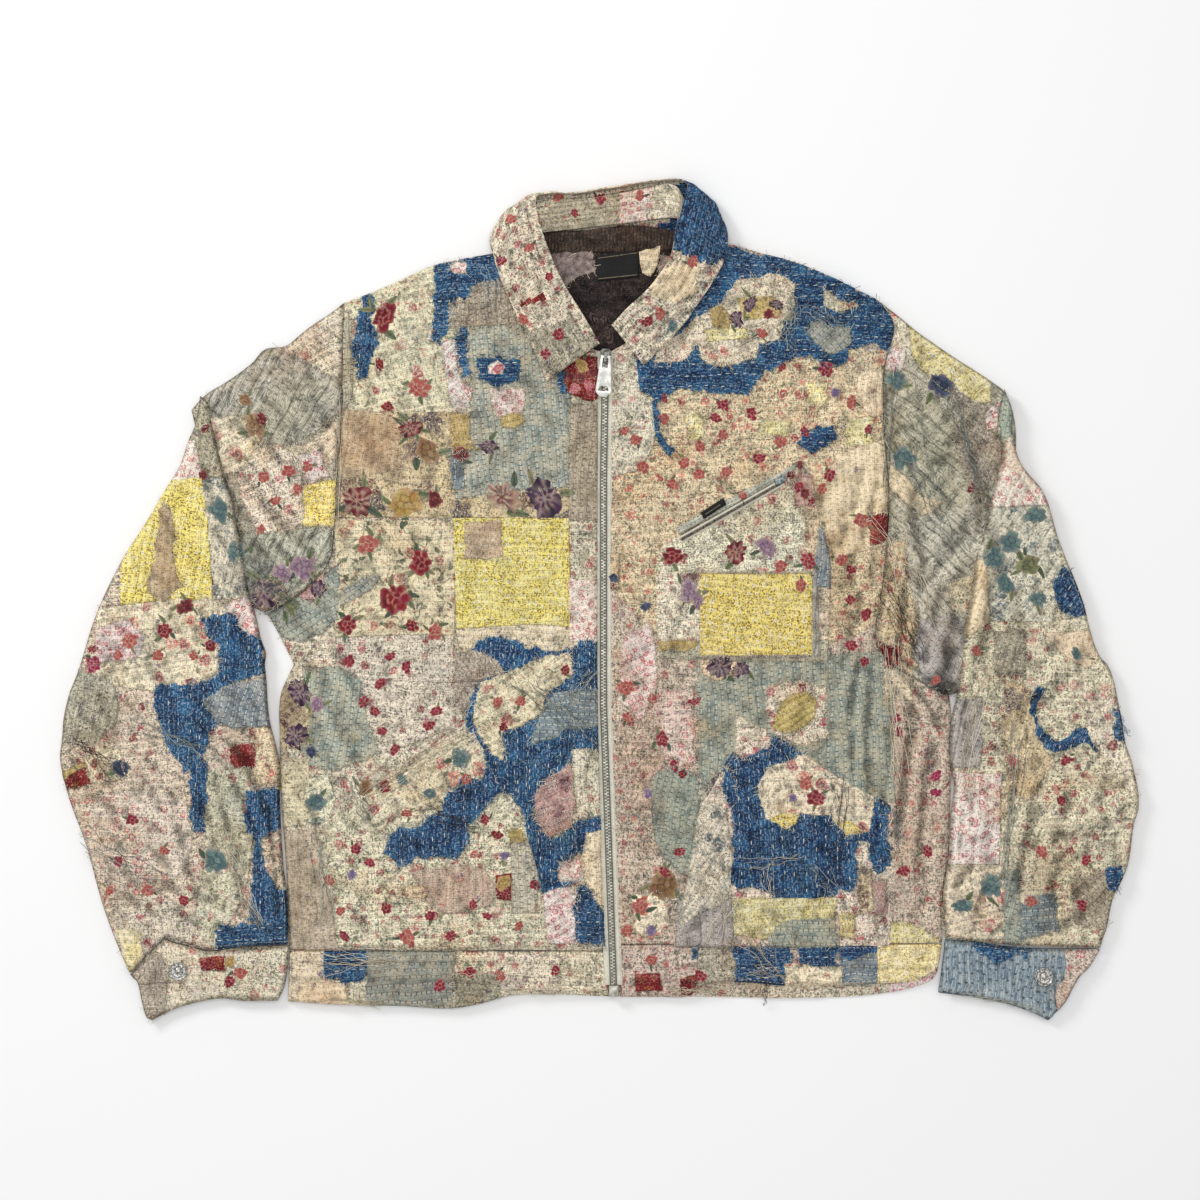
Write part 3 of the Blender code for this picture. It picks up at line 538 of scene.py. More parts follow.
def clothMaterial(name):
    spec = fabrics[name]
    material, tree, shader = newMaterial(name + "Cloth", 0.9, 0.2)
    place = addNode(tree, "ShaderNodeUVMap", uv_map="cloth")[0]
    tint = addNode(tree, "ShaderNodeAttribute", attribute_name="tint")
    shown = addNode(tree, "ShaderNodeRGB")[0]
    shown.default_value = paint(*spec["ground"])
    faded = paint(*spec["faded"])
    for group, given in spec["layers"]:
        shown = useGroup(tree, group, {**given, "Vector": place, "Ground": shown})[0]
    if "streak" in spec:
        streak = noiseAt(stretched(place, (150.0, 480.0, 1.0)), 1.0, 2.0)
        shown = blend(spread(streak, 0.45, 0.7, 0.0, spec["streak"]), shown, faded)
    if "curls" in spec:
        curl = noiseAt(stretched(place, (60.0, 120.0, 1.0)), 1.0, 2.0, Distortion=0.8)
        line = spread(calc("PINGPONG", times(curl, 6.0), 0.5), 0.1, 0.24, 0.85, 0.0)
        # pit: near-black spots, painted shade in the holes of the frayed cloth
        pit = spread(calc("PINGPONG", timesPlus(curl, 6.0, 0.5), 0.5), 0.05, 0.2, 0.55, 0.0)
        shown = blend(line, blend(pit, shown, (0.06, 0.055, 0.05, 1.0)), paint(*spec["curls"]))
    shown = useGroup(tree, "wornCloth",
                     {"Vector": place, "Color": shown, "Fade": spec["fade"], "Faded": faded,
                      "Wear": tint["Alpha"], "Fleck": spec["fleck"]})[0]
    quilt = useGroup(tree, "quiltRows",
                     {"Vector": place, "Pitch": spec["pitch"] * mm, "Stitch": spec["stitch"] * mm,
                      "Share": spec["share"]})
    shown = blend(times(quilt[0], spec["show"]), shown, paint(*spec["thread"]))
    # painted shade in the dips of the quilting rows, and a little painted highlight on the puffs between them
    hollow = spread(quilt[1], *((-0.4, 0.45, 0.62, 1.04) if spec["layers"] else (0.0, 0.45, 0.54, 1.04)))
    shown = blend(1.0, shown, greyOf(hollow), "MULTIPLY")
    shown = blend(1.0, shown, tint["Color"], "MULTIPLY")
    tree.links.new(shown, shader["Base Color"])
    weave = useGroup(tree, "plainWeave", {"Vector": place, "Thread": 0.8 * mm})
    addBump(tree, shader, timesPlus(quilt[1], 1.6 * spec.get("ribs", 1.0), weave[0]), 0.5, 0.9)
    return material


clothes = {name: clothMaterial(name) for name in fabrics}
print("cloth materials are ready:", len(clothes))


# Cloth sheets: a plan outline filled with small triangles, cut into its patches

plans = {}                      # piece name -> its outline in the plan
frayedEdges = []                # places on torn patch edges: x, y, the way out, and the cloth
edgeFades = {"indigo": 0.85, "fadedDenim": 0.5, "chambray": 0.3}
layerStep = 0.42                # how far each layer of patches lifts its cloth


def fillPlan(base, patches, spacing, seed):
    draw = np.random.default_rng(seed)
    low, high = base.min(0), base.max(0)
    rows = np.arange(low[1], high[1], spacing * 0.866)
    columns = np.arange(low[0], high[0] + spacing, spacing)
    x = np.tile(columns, len(rows)) + np.repeat((np.arange(len(rows)) % 2) * spacing * 0.5, len(columns))
    y = np.repeat(rows, len(columns))
    x = x + draw.uniform(-0.16, 0.16, len(x)) * spacing
    y = y + draw.uniform(-0.16, 0.16, len(y)) * spacing
    keep = insidePath(base, x, y)
    corners, faces = [], []
    for path in [base, *patches]:
        faces.append(list(range(len(corners), len(corners) + len(path))))
        corners += [Vector(p) for p in path]
    corners += [Vector(p) for p in zip(x[keep], y[keep])]
    points, _, triangles, _, _, owners = delaunay_2d_cdt(corners, [], faces, 0, 0.01, True)
    return np.array([(p.x, p.y) for p in points]), [(t, max(o)) for t, o in zip(triangles, owners) if 0 in o]


def cloudy(x, y, size, octaves, seed):
    places = zip((x / size).tolist(), (y / size).tolist())
    return np.array([noise.fractal((a, b, seed), 0.9, 2.1, octaves) for a, b in places])


# soft stains and painted shadows: x, y, half sizes, turn in degrees, colour to multiply by; the darkest, at
# the armpits and along the sleeve edges, are painted shadows
stainsAndShadows = [
    (-275, 160, 60, 32, 35, (0.9, 0.9, 0.84)), (-198, 138, 38, 30, 0, (0.82, 0.72, 0.68)),
    (-262, 215, 40, 18, 40, (0.9, 0.82, 0.78)), (-294, 12, 24, 46, 20, (0.55, 0.55, 0.58)),
    (-268, -100, 14, 44, 5, (0.62, 0.58, 0.6)), (-440, -140, 26, 52, -10, (0.84, 0.78, 0.72)),
    (-320, -170, 22, 60, 5, (0.8, 0.84, 0.86)), (-262, -245, 30, 50, 0, (0.82, 0.8, 0.74)),
    (-130, -250, 52, 20, 0, (0.92, 0.8, 0.77)), (-150, -334, 84, 13, 0, (0.74, 0.74, 0.76)),
    (-12, 130, 14, 60, 0, (0.86, 0.84, 0.8)), (262, -20, 12, 80, 4, (0.74, 0.73, 0.7)),
    (300, -60, 7, 22, -10, (0.36, 0.36, 0.36)), (270, -190, 20, 80, 3, (0.99, 0.96, 0.94)),
    (290, 140, 40, 60, -20, (0.86, 0.88, 0.84)), (316, 0, 14, 70, -8, (0.84, 0.84, 0.8)),
    (358, -90, 26, 50, 10, (0.78, 0.78, 0.78)), (400, -236, 46, 40, 0, (0.8, 0.75, 0.7)),
    (36, -138, 22, 80, 0, (0.94, 0.84, 0.8)), (100, -336, 80, 10, 0, (0.8, 0.77, 0.76)),
    (-370, 40, 30, 60, 20, (0.9, 0.86, 0.78)), (210, 20, 20, 70, 0, (0.8, 0.76, 0.72)),
    (-420, -250, 34, 26, 0, (0.86, 0.8, 0.76)), (300, -74, 20, 9, -35, (0.3, 0.3, 0.3)),
    (250, 120, 5, 120, 0, (0.6, 0.6, 0.58)), (338, 60, 8, 90, 14, (0.6, 0.6, 0.6)),
    (150, 80, 50, 16, 28, (0.86, 0.8, 0.74)), (-60, 200, 30, 30, 0, (0.88, 0.86, 0.84)),
]


def wearAndShadeAt(x, y, hollow):
    # colour to multiply by and how washed out the cloth is, the same all over: stains and painted shadows
    # cross the patches, and the cloth gets painted shade in its hollows and a little painted highlight on its
    # ridges
    slow, quick = cloudy(x, y, 46.0, 4, 3.1), cloudy(x, y, 11.0, 3, 7.7)
    brown = np.clip(slow * 0.95 + quick * 0.35 - 0.17, 0.0, 0.8)[:, None]
    grey = np.clip(-slow * 0.85 + quick * 0.32 - 0.18, 0.0, 0.7)[:, None]
    # painted shade: darker where the cloth lies lower than round it, a little lighter where it stands higher
    shade = np.clip(1.0 + hollow, 0.45, 1.12)[:, None]
    colour = ((1.0 - brown * np.array([0.15, 0.27, 0.38]))
              * (1.0 - grey * np.array([0.26, 0.23, 0.17])) * shade)
    for middleX, middleY, wide, tall, turn, tone in stainsAndShadows:
        c, s = math.cos(math.radians(turn)), math.sin(math.radians(turn))
        along = ((x - middleX) * c + (y - middleY) * s) / wide
        across = ((y - middleY) * c - (x - middleX) * s) / tall
        share = np.clip(1.3 - np.hypot(along, across) + 0.55 * quick, 0.0, 1.0)[:, None]
        colour = colour * (1.0 - share * (1.0 - np.array(tone)))
    wear = 0.42 * quick + 0.25 * cloudy(x, y, 27.0, 2, 12.3) + np.clip(hollow * 1.6, 0, 0.3)
    return colour, np.clip(wear, 0.0, 0.6)


def patchLooks(patches, seed):
    # the cloth, turn, shift, lift and tint that each patch of a sheet gets
    draw = random.Random(seed)
    looks = []
    for fabric, level, _, turn, _ in patches:
        angle = math.radians(turn + draw.uniform(-6, 6))
        value = draw.uniform(0.88, 1.06)
        tint = np.array([value * draw.uniform(0.97, 1.03) for _ in range(3)])
        shift = (draw.uniform(0, 3), draw.uniform(0, 3))
        looks.append((fabric, math.cos(angle), math.sin(angle), *shift, level * layerStep, tint))
    return looks


def buildMesh(name, points, faces, materials, owners=None, uvs=None, tints=None):
    mesh = bpy.data.meshes.new(name)
    mesh.from_pydata((np.asarray(points, float) * mm).tolist(), [], faces)
    for material in materials:
        mesh.materials.append(material)
    if owners is not None:
        mesh.polygons.foreach_set("material_index", np.asarray(owners, np.int32))
    mesh.polygons.foreach_set("use_smooth", np.ones(len(faces), bool))
    if uvs is not None:
        layer = mesh.uv_layers.new(name="cloth")
        corner = np.empty(len(mesh.loops), np.int32)
        mesh.loops.foreach_get("vertex_index", corner)
        layer.data.foreach_set("uv", np.asarray(uvs, np.float32)[corner].ravel())
    if tints is not None:
        attribute = mesh.color_attributes.new("tint", "FLOAT_COLOR", "POINT")
        attribute.data.foreach_set("color", np.asarray(tints, np.float32).ravel())
    mesh.update()
    finished[name] = addObject(name, mesh)


def clothSheet(name, outline, fabric, patches, heightAt, spacing=3.0, seed=1, facing=1, turn=0.0,
               edgeDrop=1.2, under=None):
    # heightAt(x, y, edge) gives the sheet's height; edge is how far a point is from the outline
    table = [(fabric, 0, 0.0, turn, outline), *patches]
    looks = patchLooks(table, seed)
    base = plans[name] = outlinePath(outline, 0.0, seed, spacing)
    lowest, highest = base.min(0) - 4, base.max(0) + 4
    paths, kept = [], [0]
    for i, (kind, _, ragged, _, points) in enumerate(patches, 1):
        if (np.max(points, 0) > lowest).all() and (np.min(points, 0) < highest).all():
            tear = ragged * (1.4 if kind == "indigo" else 1.0)
            paths.append(outlinePath(points, tear, seed * 50 + i, 2.2 if ragged > 0.7 else 3.2))
            kept.append(i)
    plan, triangles = fillPlan(base, paths, spacing, seed)
    x, y = plan.T
    edge = distanceTo(sidesOf(base), x, y)
    height = heightAt(x, y, edge)
    near = [heightAt(x + dx, y + dy, edge) for dx, dy in ((5, 0), (-5, 0), (0, 5), (0, -5))]
    # the height against its neighbours gives painted shade in the hollows
    colour, wear = wearAndShadeAt(x, y, facing * 1.05 * (height - sum(near) / 4.0))
    waver = [ripples(k, x, y, ((1.6, 55, 4, None), (0.5, 17, 3, None))) for k in (5, 6)]
    sides = {}
    for triangle, region in triangles:
        for a, b in zip(triangle, triangle[1:] + triangle[:1]):
            sides.setdefault((min(a, b), max(a, b)), []).append((region, a, b))
    border = {v for ends, owners in sides.items() if len(owners) == 2 and owners[0][0] != owners[1][0]
              for v in ends}
    beside = {v for ends in sides if ends[0] in border or ends[1] in border for v in ends}
    points, uvs, tints, where = [], [], [], {}

    def place(region, index, drop=0.0):
        key = (region, index, drop)
        if key not in where:
            kind, cosine, sine, shiftX, shiftY, lift, tint = looks[kept[region]]
            px, py = plan[index]
            where[key] = len(points)
            points.append((px, py, height[index] + facing * (lift - drop)))
            ux, uy = (px + waver[0][index]) * mm, (py + waver[1][index]) * mm
            uvs.append((ux * cosine + uy * sine + shiftX, uy * cosine - ux * sine + shiftY))
            # patch borders are darker: partly painted shade at the step, partly dirt in the seam
            seam = 0.84 if index in border and kind not in edgeFades else 1.0
            closeness = 1.0 if index in border else 0.3 if index in beside else 0.0
            shade = colour[index] if kind != "yellow" else 0.6 + 0.4 * colour[index]
            tints.append((*(shade * tint * seam), wear[index] + edgeFades.get(kind, 0.0) * closeness))
        return where[key]

    used = sorted({looks[kept[r]][0] for _, r in triangles})
    faces, owners = [], []

    def addFace(corners, region):
        faces.append(corners if facing > 0 else corners[::-1])
        owners.append(used.index(looks[kept[region]][0]))

    for triangle, region in triangles:
        addFace([place(region, v) for v in triangle], region)
    for ends in sides.values():
        inner = len(ends) == 2
        if inner and ends[0][0] == ends[1][0]:
            continue
        lifts = [looks[kept[e[0]]][5] for e in ends]
        region, a, b = ends[int(np.argmax(lifts))]
        if inner and facing > 0 and table[kept[region]][2] > 0.7:
            (ax, ay), (bx, by) = plan[a], plan[b]
            length = max(math.hypot(bx - ax, by - ay), 1e-6)
            out = ((by - ay) / length, (ax - bx) / length)
            frayedEdges.append(((ax + bx) / 2, (ay + by) / 2, *out, looks[kept[region]][0]))
        drop = round(max(lifts) - min(lifts) + 0.2, 3) if inner else edgeDrop
        if drop > 0.0:
            addFace([place(region, b), place(region, a), place(region, a, drop),
                     place(region, b, drop)], region)
    if under is not None:
        plan, below = fillPlan(base, [], spacing * 2.2, seed + 5)
        start = len(points)
        for (px, py), z in zip(plan, under(*plan.T, distanceTo(sidesOf(base), *plan.T))):
            points.append((px, py, z))
            uvs.append((px * mm + 0.7, py * mm + 0.3))
            tints.append((0.92, 0.9, 0.88, 0.2))
        for triangle, _ in below:
            addFace([start + v for v in triangle[::-1]], triangles[0][1])
    buildMesh(name, points, faces, [clothes[f] for f in used], owners, uvs, tints)


def rounded(edge, radius):
    # 0 at a folded edge, 1 from the radius inwards
    share = np.clip(edge / radius, 0.0, 1.0)
    return np.sqrt(np.clip(1.0 - (1.0 - share) ** 2, 0.0, 1.0))


# Heights that repeat the solid the cloth lies on

# side edges of the body as rows of y, x
leftEdge = np.array([
    (-302, -269), (-186, -273), (-88, -278), (-55, -268), (-10, -285), (14, -251), (36, -235), (66, -231),
    (149, -225),
    (259, -222), (267, -201), (282, -165), (291, -144), (302, -91), (310, -70), (316, -58)], float)
rightEdge = np.array([
    (-302, 296), (-186, 303), (-88, 303), (-70, 280), (-53, 252), (-34, 240), (1, 244), (96, 251), (149, 247),
    (201, 247),
    (218, 251), (240, 255), (259, 244), (267, 229), (282, 199), (291, 176), (302, 138), (316, 86)], float)
zipLine = np.array([(-342, 12), (-90, 3), (105, 3), (218, 5)], float)
bodyShape = {"crown": 2.4, "crownReach": 200.0, "frontTop": 4.3, "neckLift": 3.4, "liftStart": 258.0,
             "liftEnd": 282.0}


def neckLift(y):
    share = (y - bodyShape["liftStart"]) / (bodyShape["liftEnd"] - bodyShape["liftStart"])
    return bodyShape["neckLift"] * np.clip(share, 0.0, 1.0)


def sideReach(x, y):
    return np.minimum(x - np.interp(y, *leftEdge.T), np.interp(y, *rightEdge.T) - x)


def frontTop(x, y):
    crown = np.sin(np.pi / 2 * np.clip(sideReach(x, y) / bodyShape["crownReach"], 0.0, 1.0))
    return bodyShape["frontTop"] + bodyShape["crown"] * crown + neckLift(y)


bodyCreases = [
    (-216, 236, -150, 60, 8, 7, 1.3), (-226, 150, -120, 40, -10, 8, 1.2), (-222, 90, -150, -70, 8, 7, 1.0),
    (-262, -60, -200, -210, 6, 6, 1.4), (-250, -10, -190, -120, -8, 6, 1.2), (-90, 250, -20, 120, 6, 7, 0.9),
    (-160, 20, -60, -30, 8, 8, 0.7), (244, 200, 150, 90, -9, 8, 1.2), (248, 120, 200, -40, 7, 6, 1.4),
    (244, 20, 205, -120, -6, 5, 1.8), (262, -70, 240, -230, 5, 5, 2.4), (285, -90, 268, -250, -4, 5, 2.2),
    (300, -110, 285, -270, 3, 4, 1.6), (232, -20, 226, -190, -4, 4, 1.6), (250, -60, 292, -120, 4, 4, 1.8),
    (222, 60, 232, -60, 4, 5, 1.8), (236, 130, 206, 30, 6, 5, 1.6), (90, 280, 20, 150, -7, 8, 0.8),
    (60, 20, 20, -160, 6, 8, 0.8), (-20, -60, -30, -260, 4, 7, 0.9), (-265, -170, -225, -290, 3, 5, 1.3),
    (210, -70, 180, -130, 4, 6, 1.2),
]


def bodyHeight(x, y, edge):
    top = frontTop(x, y) + creaseHeight(bodyCreases, x, y) * np.clip(edge / 12.0, 0.2, 1.0)
    crumple = ripples(11, x, y, ((0.8, 38, 5, None), (0.28, 17, 6, None), (0.13, 8, 7, None)))
    top = top + crumple * np.clip(edge / 8.0, 0.3, 1.0)
    folded = (sideReach(x, y) < 14.0) & (y < 10.0)
    low = seamLow + neckLift(y)
    return low + (top - low) * np.where(folded, rounded(edge, 4.0), 0.66 + 0.34 * rounded(edge, 2.6))


def onFront(layer, radius=2.2, puff=0.3, seed=31):
    # a piece laid on the fronts: its edges reach down to the layer below
    def heightAt(x, y, edge):
        ground = frontTop(x, y) + creaseHeight(bodyCreases, x, y) * 0.8
        ground = ground + ripples(11, x, y, ((0.8, 38, 5, None), (0.24, 17, 6, None))) * 0.8
        top = ground + 1.5 * (layer + 1) + 0.5 + ripples(seed, x, y,
                                                         ((puff, 26, 4, None), (0.18, 12, 6, None)))
        low = ground + 1.5 * layer - 0.1
        return low + (top - low) * rounded(edge, radius)
    return heightAt


# Outlines of the pieces: a name, then corners as x,y in mm

outlineRows = """
frontLeft -270,-303 -271,-264 -273,-225 -276,-186 -278,-151 -278,-121 -278,-88 -276,-77 -266,-55 -278,-31
-289,-11 -274,-2 -251,14 -235,36 -231,66 -229,105 -225,149 -224,175 -224,218 -223,244 -222,259 -203,266
-174,278 -144,291 -118,297 -91,302 -80,305 -73,295 -63,279 -52,262 -41,244 -22,227 -2,217 -2,192 -2,105
-2,-86 2,-217 5,-303
frontRight 16,-298 13,-217 9,-86 9,105 10,192 10,217 31,229 52,246 66,262 80,279 92,295 103,309 108,310
139,302 166,295 197,283 228,268 244,259 255,240 251,218 247,201 247,149 251,96 249,45 244,1 240,-34 252,-53
274,-67 303,-81 304,-86 305,-119 305,-156 304,-189 302,-228 298,-253 297,-297
upperLeft -222,259 -223,244 -224,218 -224,175 -225,149 -229,105 -231,66 -235,36 -251,14 -274,-2 -291,-10
-303,-4 -317,10 -329,53 -341,105 -355,166 -344,178 -322,192 -301,208 -292,218 -272,222 -261,231 -248,241
-237,248
foreLeft -347,178 -340,173 -337,158 -328,119 -318,84 -310,40 -303,3 -298,-16 -294,-34 -290,-46 -291,-55
-290,-65 -287,-103 -282,-123 -278,-143 -278,-168 -275,-228 -271,-264 -271,-298 -315,-300 -333,-303 -341,-303
-356,-299 -372,-295 -378,-292 -395,-309 -408,-323 -414,-311 -431,-267 -447,-210 -459,-178 -465,-158
-469,-136 -467,-117 -466,-103 -461,-81 -454,-63 -438,-13 -417,32 -393,70 -377,97 -364,119 -357,140 -352,151
cuffLeft -408,-324 -395,-310 -378,-293 -372,-296 -356,-300 -341,-304 -315,-301 -271,-299 -271,-312 -272,-324
-275,-337 -280,-347 -310,-347 -329,-345 -356,-350 -369,-354 -389,-364 -393,-362 -398,-348 -402,-331
upperRight 244,259 261,246 274,235 291,223 307,212 326,200 341,190 351,182 360,158 360,114 352,70 341,27
334,-16 326,-56 315,-77 303,-82 274,-68 252,-54 240,-34 244,1 249,45 251,96 247,149 247,201 251,218 255,240
foreRight 351,184 358,164 358,145 365,120 385,94 398,54 418,3 434,-48 441,-56 452,-98 456,-122 463,-144
468,-178 464,-193 458,-231 445,-260 440,-284 434,-301 391,-300 363,-299 324,-295 300,-293 298,-253 302,-228
305,-185 307,-156 305,-149 304,-109 309,-85 312,-69 313,-53 317,-22 324,16 325,33 334,63 340,90 346,113
349,132 344,148 346,166
cuffRight 300,-294 324,-296 363,-301 391,-302 434,-302 425,-318 417,-326 410,-338 404,-349 389,-364 377,-358
347,-348 324,-344 294,-340
bandLeft -270,-304 5,-304 8,-342 -35,-342 -78,-343 -104,-350 -128,-354 -174,-352 -223,-351 -271,-348
bandRight 16,-298 297,-298 295,-312 292,-324 278,-329 238,-333 174,-335 88,-335 78,-343 52,-344 18,-344
bandBack -270,-303 297,-298 295,-314 291,-327 278,-334 238,-342 176,-345 88,-344 18,-344 -78,-342 -128,-349
-223,-350 -271,-348
pocketLeft -226,-301 -238,-236 -247,-197 -231,-186 -211,-171 -187,-161 -157,-140 -134,-124 -108,-113
-96,-137 -81,-164 -70,-179 -60,-213 -50,-252 -44,-301
pocketRight 64,-300 70,-273 79,-225 87,-180 103,-151 118,-128 135,-118 151,-117 174,-131 204,-151 234,-168
251,-177 257,-199 258,-217 255,-260 252,-300
chestPocket 50,-50 49,1 50,36 58,53 70,56 151,104 175,121 179,118 191,74 200,33 200,1 198,-53 132,-52
patchPocket 86,26 189,26 191,-49 139,-50 86,-50
frontBand -25,194 -2,196 -2,105 -2,-86 0,-173 3,-300 -21,-300 -26,-86 -27,88
back -270,-302 -271,-264 -273,-225 -276,-186 -278,-121 -277,-80 -266,-55 -285,-11 -274,-2 -251,14 -235,36
-231,66 -225,149 -224,218 -222,259 -203,266 -174,278 -144,291 -91,302 -70,309 -56,313 14,318 84,313 108,310
139,302 166,295 197,283 228,268 244,259 255,240 251,218 247,201 247,149 251,96 249,45 244,1 240,-34 252,-53
274,-67 303,-81 305,-119 304,-189 302,-228 297,-297
"""

# Patches: a heading for each piece of the jacket, then its patches, the lowest layer first. A patch has its
# cloth, layer, raggedness in mm and thread turn in degrees, and its corners as x,y in mm, which may go on
# over the next lines. Two corners are those of an upright rectangle.

